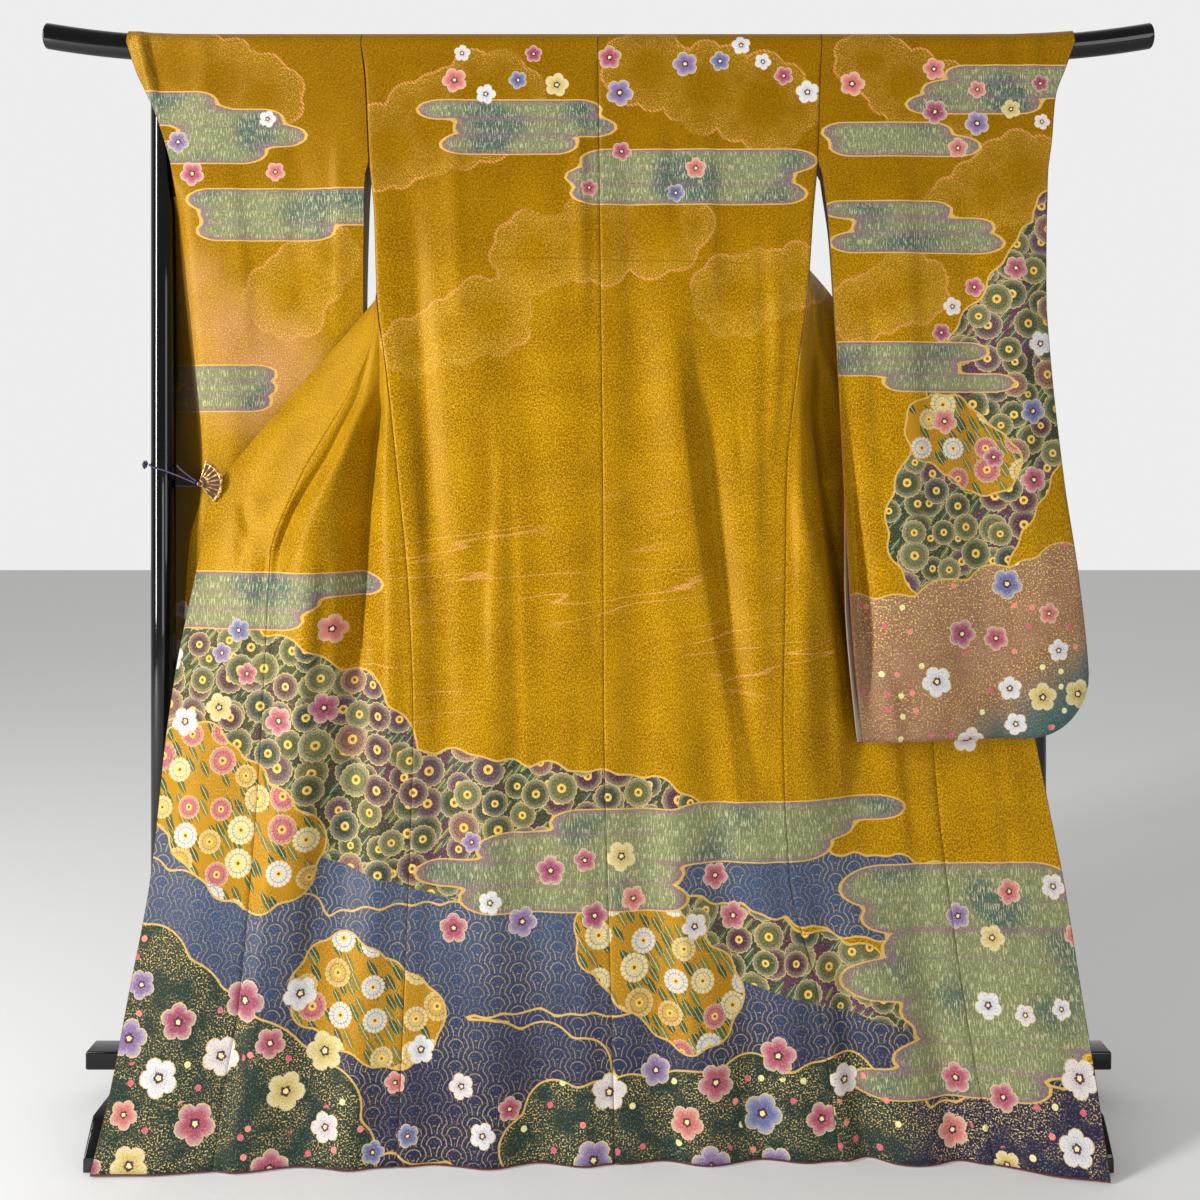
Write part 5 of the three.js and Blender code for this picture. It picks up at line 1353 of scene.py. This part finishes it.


# ---- Fan clip ----
# A cast antique-brass folding fan, its ribs raised over a ground painted dark as the shade of its openings,
# riveted at the pivot to a spring of bent brass strip that grips the left front's edge.
FAN_X, FAN_Z, FAN_REACH, FAN_THICK, FAN_RADIUS = -551.5, 860, 45, 1.4, 33
RIBS, RIB_HALF_WIDTH, GUARD_HALF_WIDTH, RELIEF = 9, 0.85, 1.3, 0.6
LOWEST, HIGHEST = -48, 72  # the first and last rib, in degrees
GROUND_FROM, GROUND_TO = 13.5, 28.5  # where the ground shows between the ribs
SPRING_STRIP = [(-519, 41.5), (-548, 44.25), (-552.6, 41), (-552.6, 34.5), (-548, 31.05), (-519, 32.55)]
SPRING_HEIGHT, SPRING_SHEET = 8, 0.9


def brass_finish():
    metal = Finish("antique_brass")
    where = metal.solid()
    tarnish, grain = metal.step(metal.noise(where, 160, 4), 0.42, 0.62), metal.noise(where, 900, 3)
    colour = metal.blend(ink(196, 156, 104), ink(120, 84, 48), tarnish)
    return metal.finish(colour, metal.level(0.36, 0.5, tarnish), grain, 0.00012, metallic=1.0)


def painted_shade_recess_finish():
    # painted shade: a dark brown ground that fills the pierced openings between the ribs
    ground = Finish("brass_recess_painted_shade")
    cast = ground.noise(ground.solid(), 500, 2)
    return ground.finish(ground.blend(ink(44, 26, 10), ink(86, 54, 24), cast), 0.75)


antique_brass = brass_finish()


def brass_piece(name, mesh, node, smooth=True):
    bmesh.ops.recalc_face_normals(mesh, faces=mesh.faces[:])
    return solid_piece(name, mesh, antique_brass, node, smooth=smooth)


def fan_leaf():
    """The fan's leaf: a grid round the pivot, higher on the ribs and on its two rims."""
    degrees = np.linspace(LOWEST - 3, HIGHEST + 3, (RIBS - 1) * 10 + 7)
    step = (HIGHEST - LOWEST) / (RIBS - 1)
    radii = np.concatenate([np.linspace(3, GROUND_FROM, 5), np.linspace(GROUND_FROM, GROUND_TO, 9)[1:],
                            np.linspace(GROUND_TO, FAN_RADIUS, 5)[1:]])
    from_rib = abs((degrees - LOWEST + step / 2) % step - step / 2)
    mesh = bmesh.new()
    grid = []
    for radius in radii:
        row = []
        rims = sum(math.exp(-(((radius - rim) / 0.9) ** 2)) for rim in (GROUND_FROM - 1, 30.5))
        for angle, off in zip(np.radians(degrees), from_rib):
            scallop = 1 - 0.05 * (off / step * 2) ** 2 * smooth(radius, GROUND_TO, FAN_RADIUS)
            rib = math.exp(-((math.radians(off) * radius / 0.8) ** 2))
            reach = FAN_REACH + FAN_THICK / 2 + RELIEF * max(rib, rims) - 0.55
            across, up = radius * scallop * math.cos(angle), radius * scallop * math.sin(angle)
            row.append(mesh.verts.new(spot(FAN_X + across, reach, FAN_Z + up)))
        grid.append(row)
    for j in range(len(radii) - 1):
        middle = (radii[j] + radii[j + 1]) / 2
        for i in range(len(degrees) - 1):
            off_rib = math.radians((from_rib[i] + from_rib[i + 1]) / 2) * middle
            off_guard = math.radians(min(abs(degrees[i] - LOWEST), abs(degrees[i] - HIGHEST))) * middle
            # faces between the ribs and inside the guard take the painted shade of the openings
            face = mesh.faces.new((grid[j][i], grid[j][i + 1], grid[j + 1][i + 1], grid[j + 1][i]))
            face.material_index = int((GROUND_FROM < middle < GROUND_TO and off_rib > RIB_HALF_WIDTH)
                                      or (5 < middle < GROUND_FROM - 2 and off_guard > GUARD_HALF_WIDTH))
    leaf = brass_piece("fan_leaf_brass", mesh, "fan_clip")
    leaf.data.materials.append(painted_shade_recess_finish())
    wall = leaf.modifiers.new("wall", "SOLIDIFY")
    wall.thickness, wall.offset = 0.8 * MM, 0
    arris = leaf.modifiers.new("arris", "BEVEL")
    arris.width, arris.segments, arris.limit_method = 0.15 * MM, 2, "ANGLE"


fan_leaf()
RIVET = [(3.2, 46.7), (3.2, 47.2), (3.0, 47.7), (2.6, 48.2), (1.9, 48.6), (1.0, 48.85), (0.3, 48.9)]
rivet = bmesh.new()
loops = [[rivet.verts.new(spot(FAN_X + radius * math.cos(a), reach, FAN_Z + radius * math.sin(a)))
          for a in np.linspace(0, 2 * np.pi, 32, endpoint=False)] for radius, reach in RIVET]
bridge(rivet, loops)
rivet.faces.new(loops[0])
rivet.faces.new(loops[-1])
brass_piece("fan_rivet_brass", rivet, "fan_rivet")

strip = bmesh.new()
edge = [[strip.verts.new(spot(x, reach, FAN_Z + side * SPRING_HEIGHT / 2)) for x, reach in SPRING_STRIP]
        for side in (-1, 1)]
for k in range(len(SPRING_STRIP) - 1):
    strip.faces.new((edge[0][k], edge[0][k + 1], edge[1][k + 1], edge[1][k]))
spring = brass_piece("clip_spring_brass", strip, "clip_spring", smooth=False)
bends = spring.modifiers.new("bends", "BEVEL")
bends.width, bends.segments = 1.2 * MM, 4
wall = spring.modifiers.new("wall", "SOLIDIFY")
wall.thickness, wall.offset = SPRING_SHEET * MM, 0

bpy.context.view_layer.update()
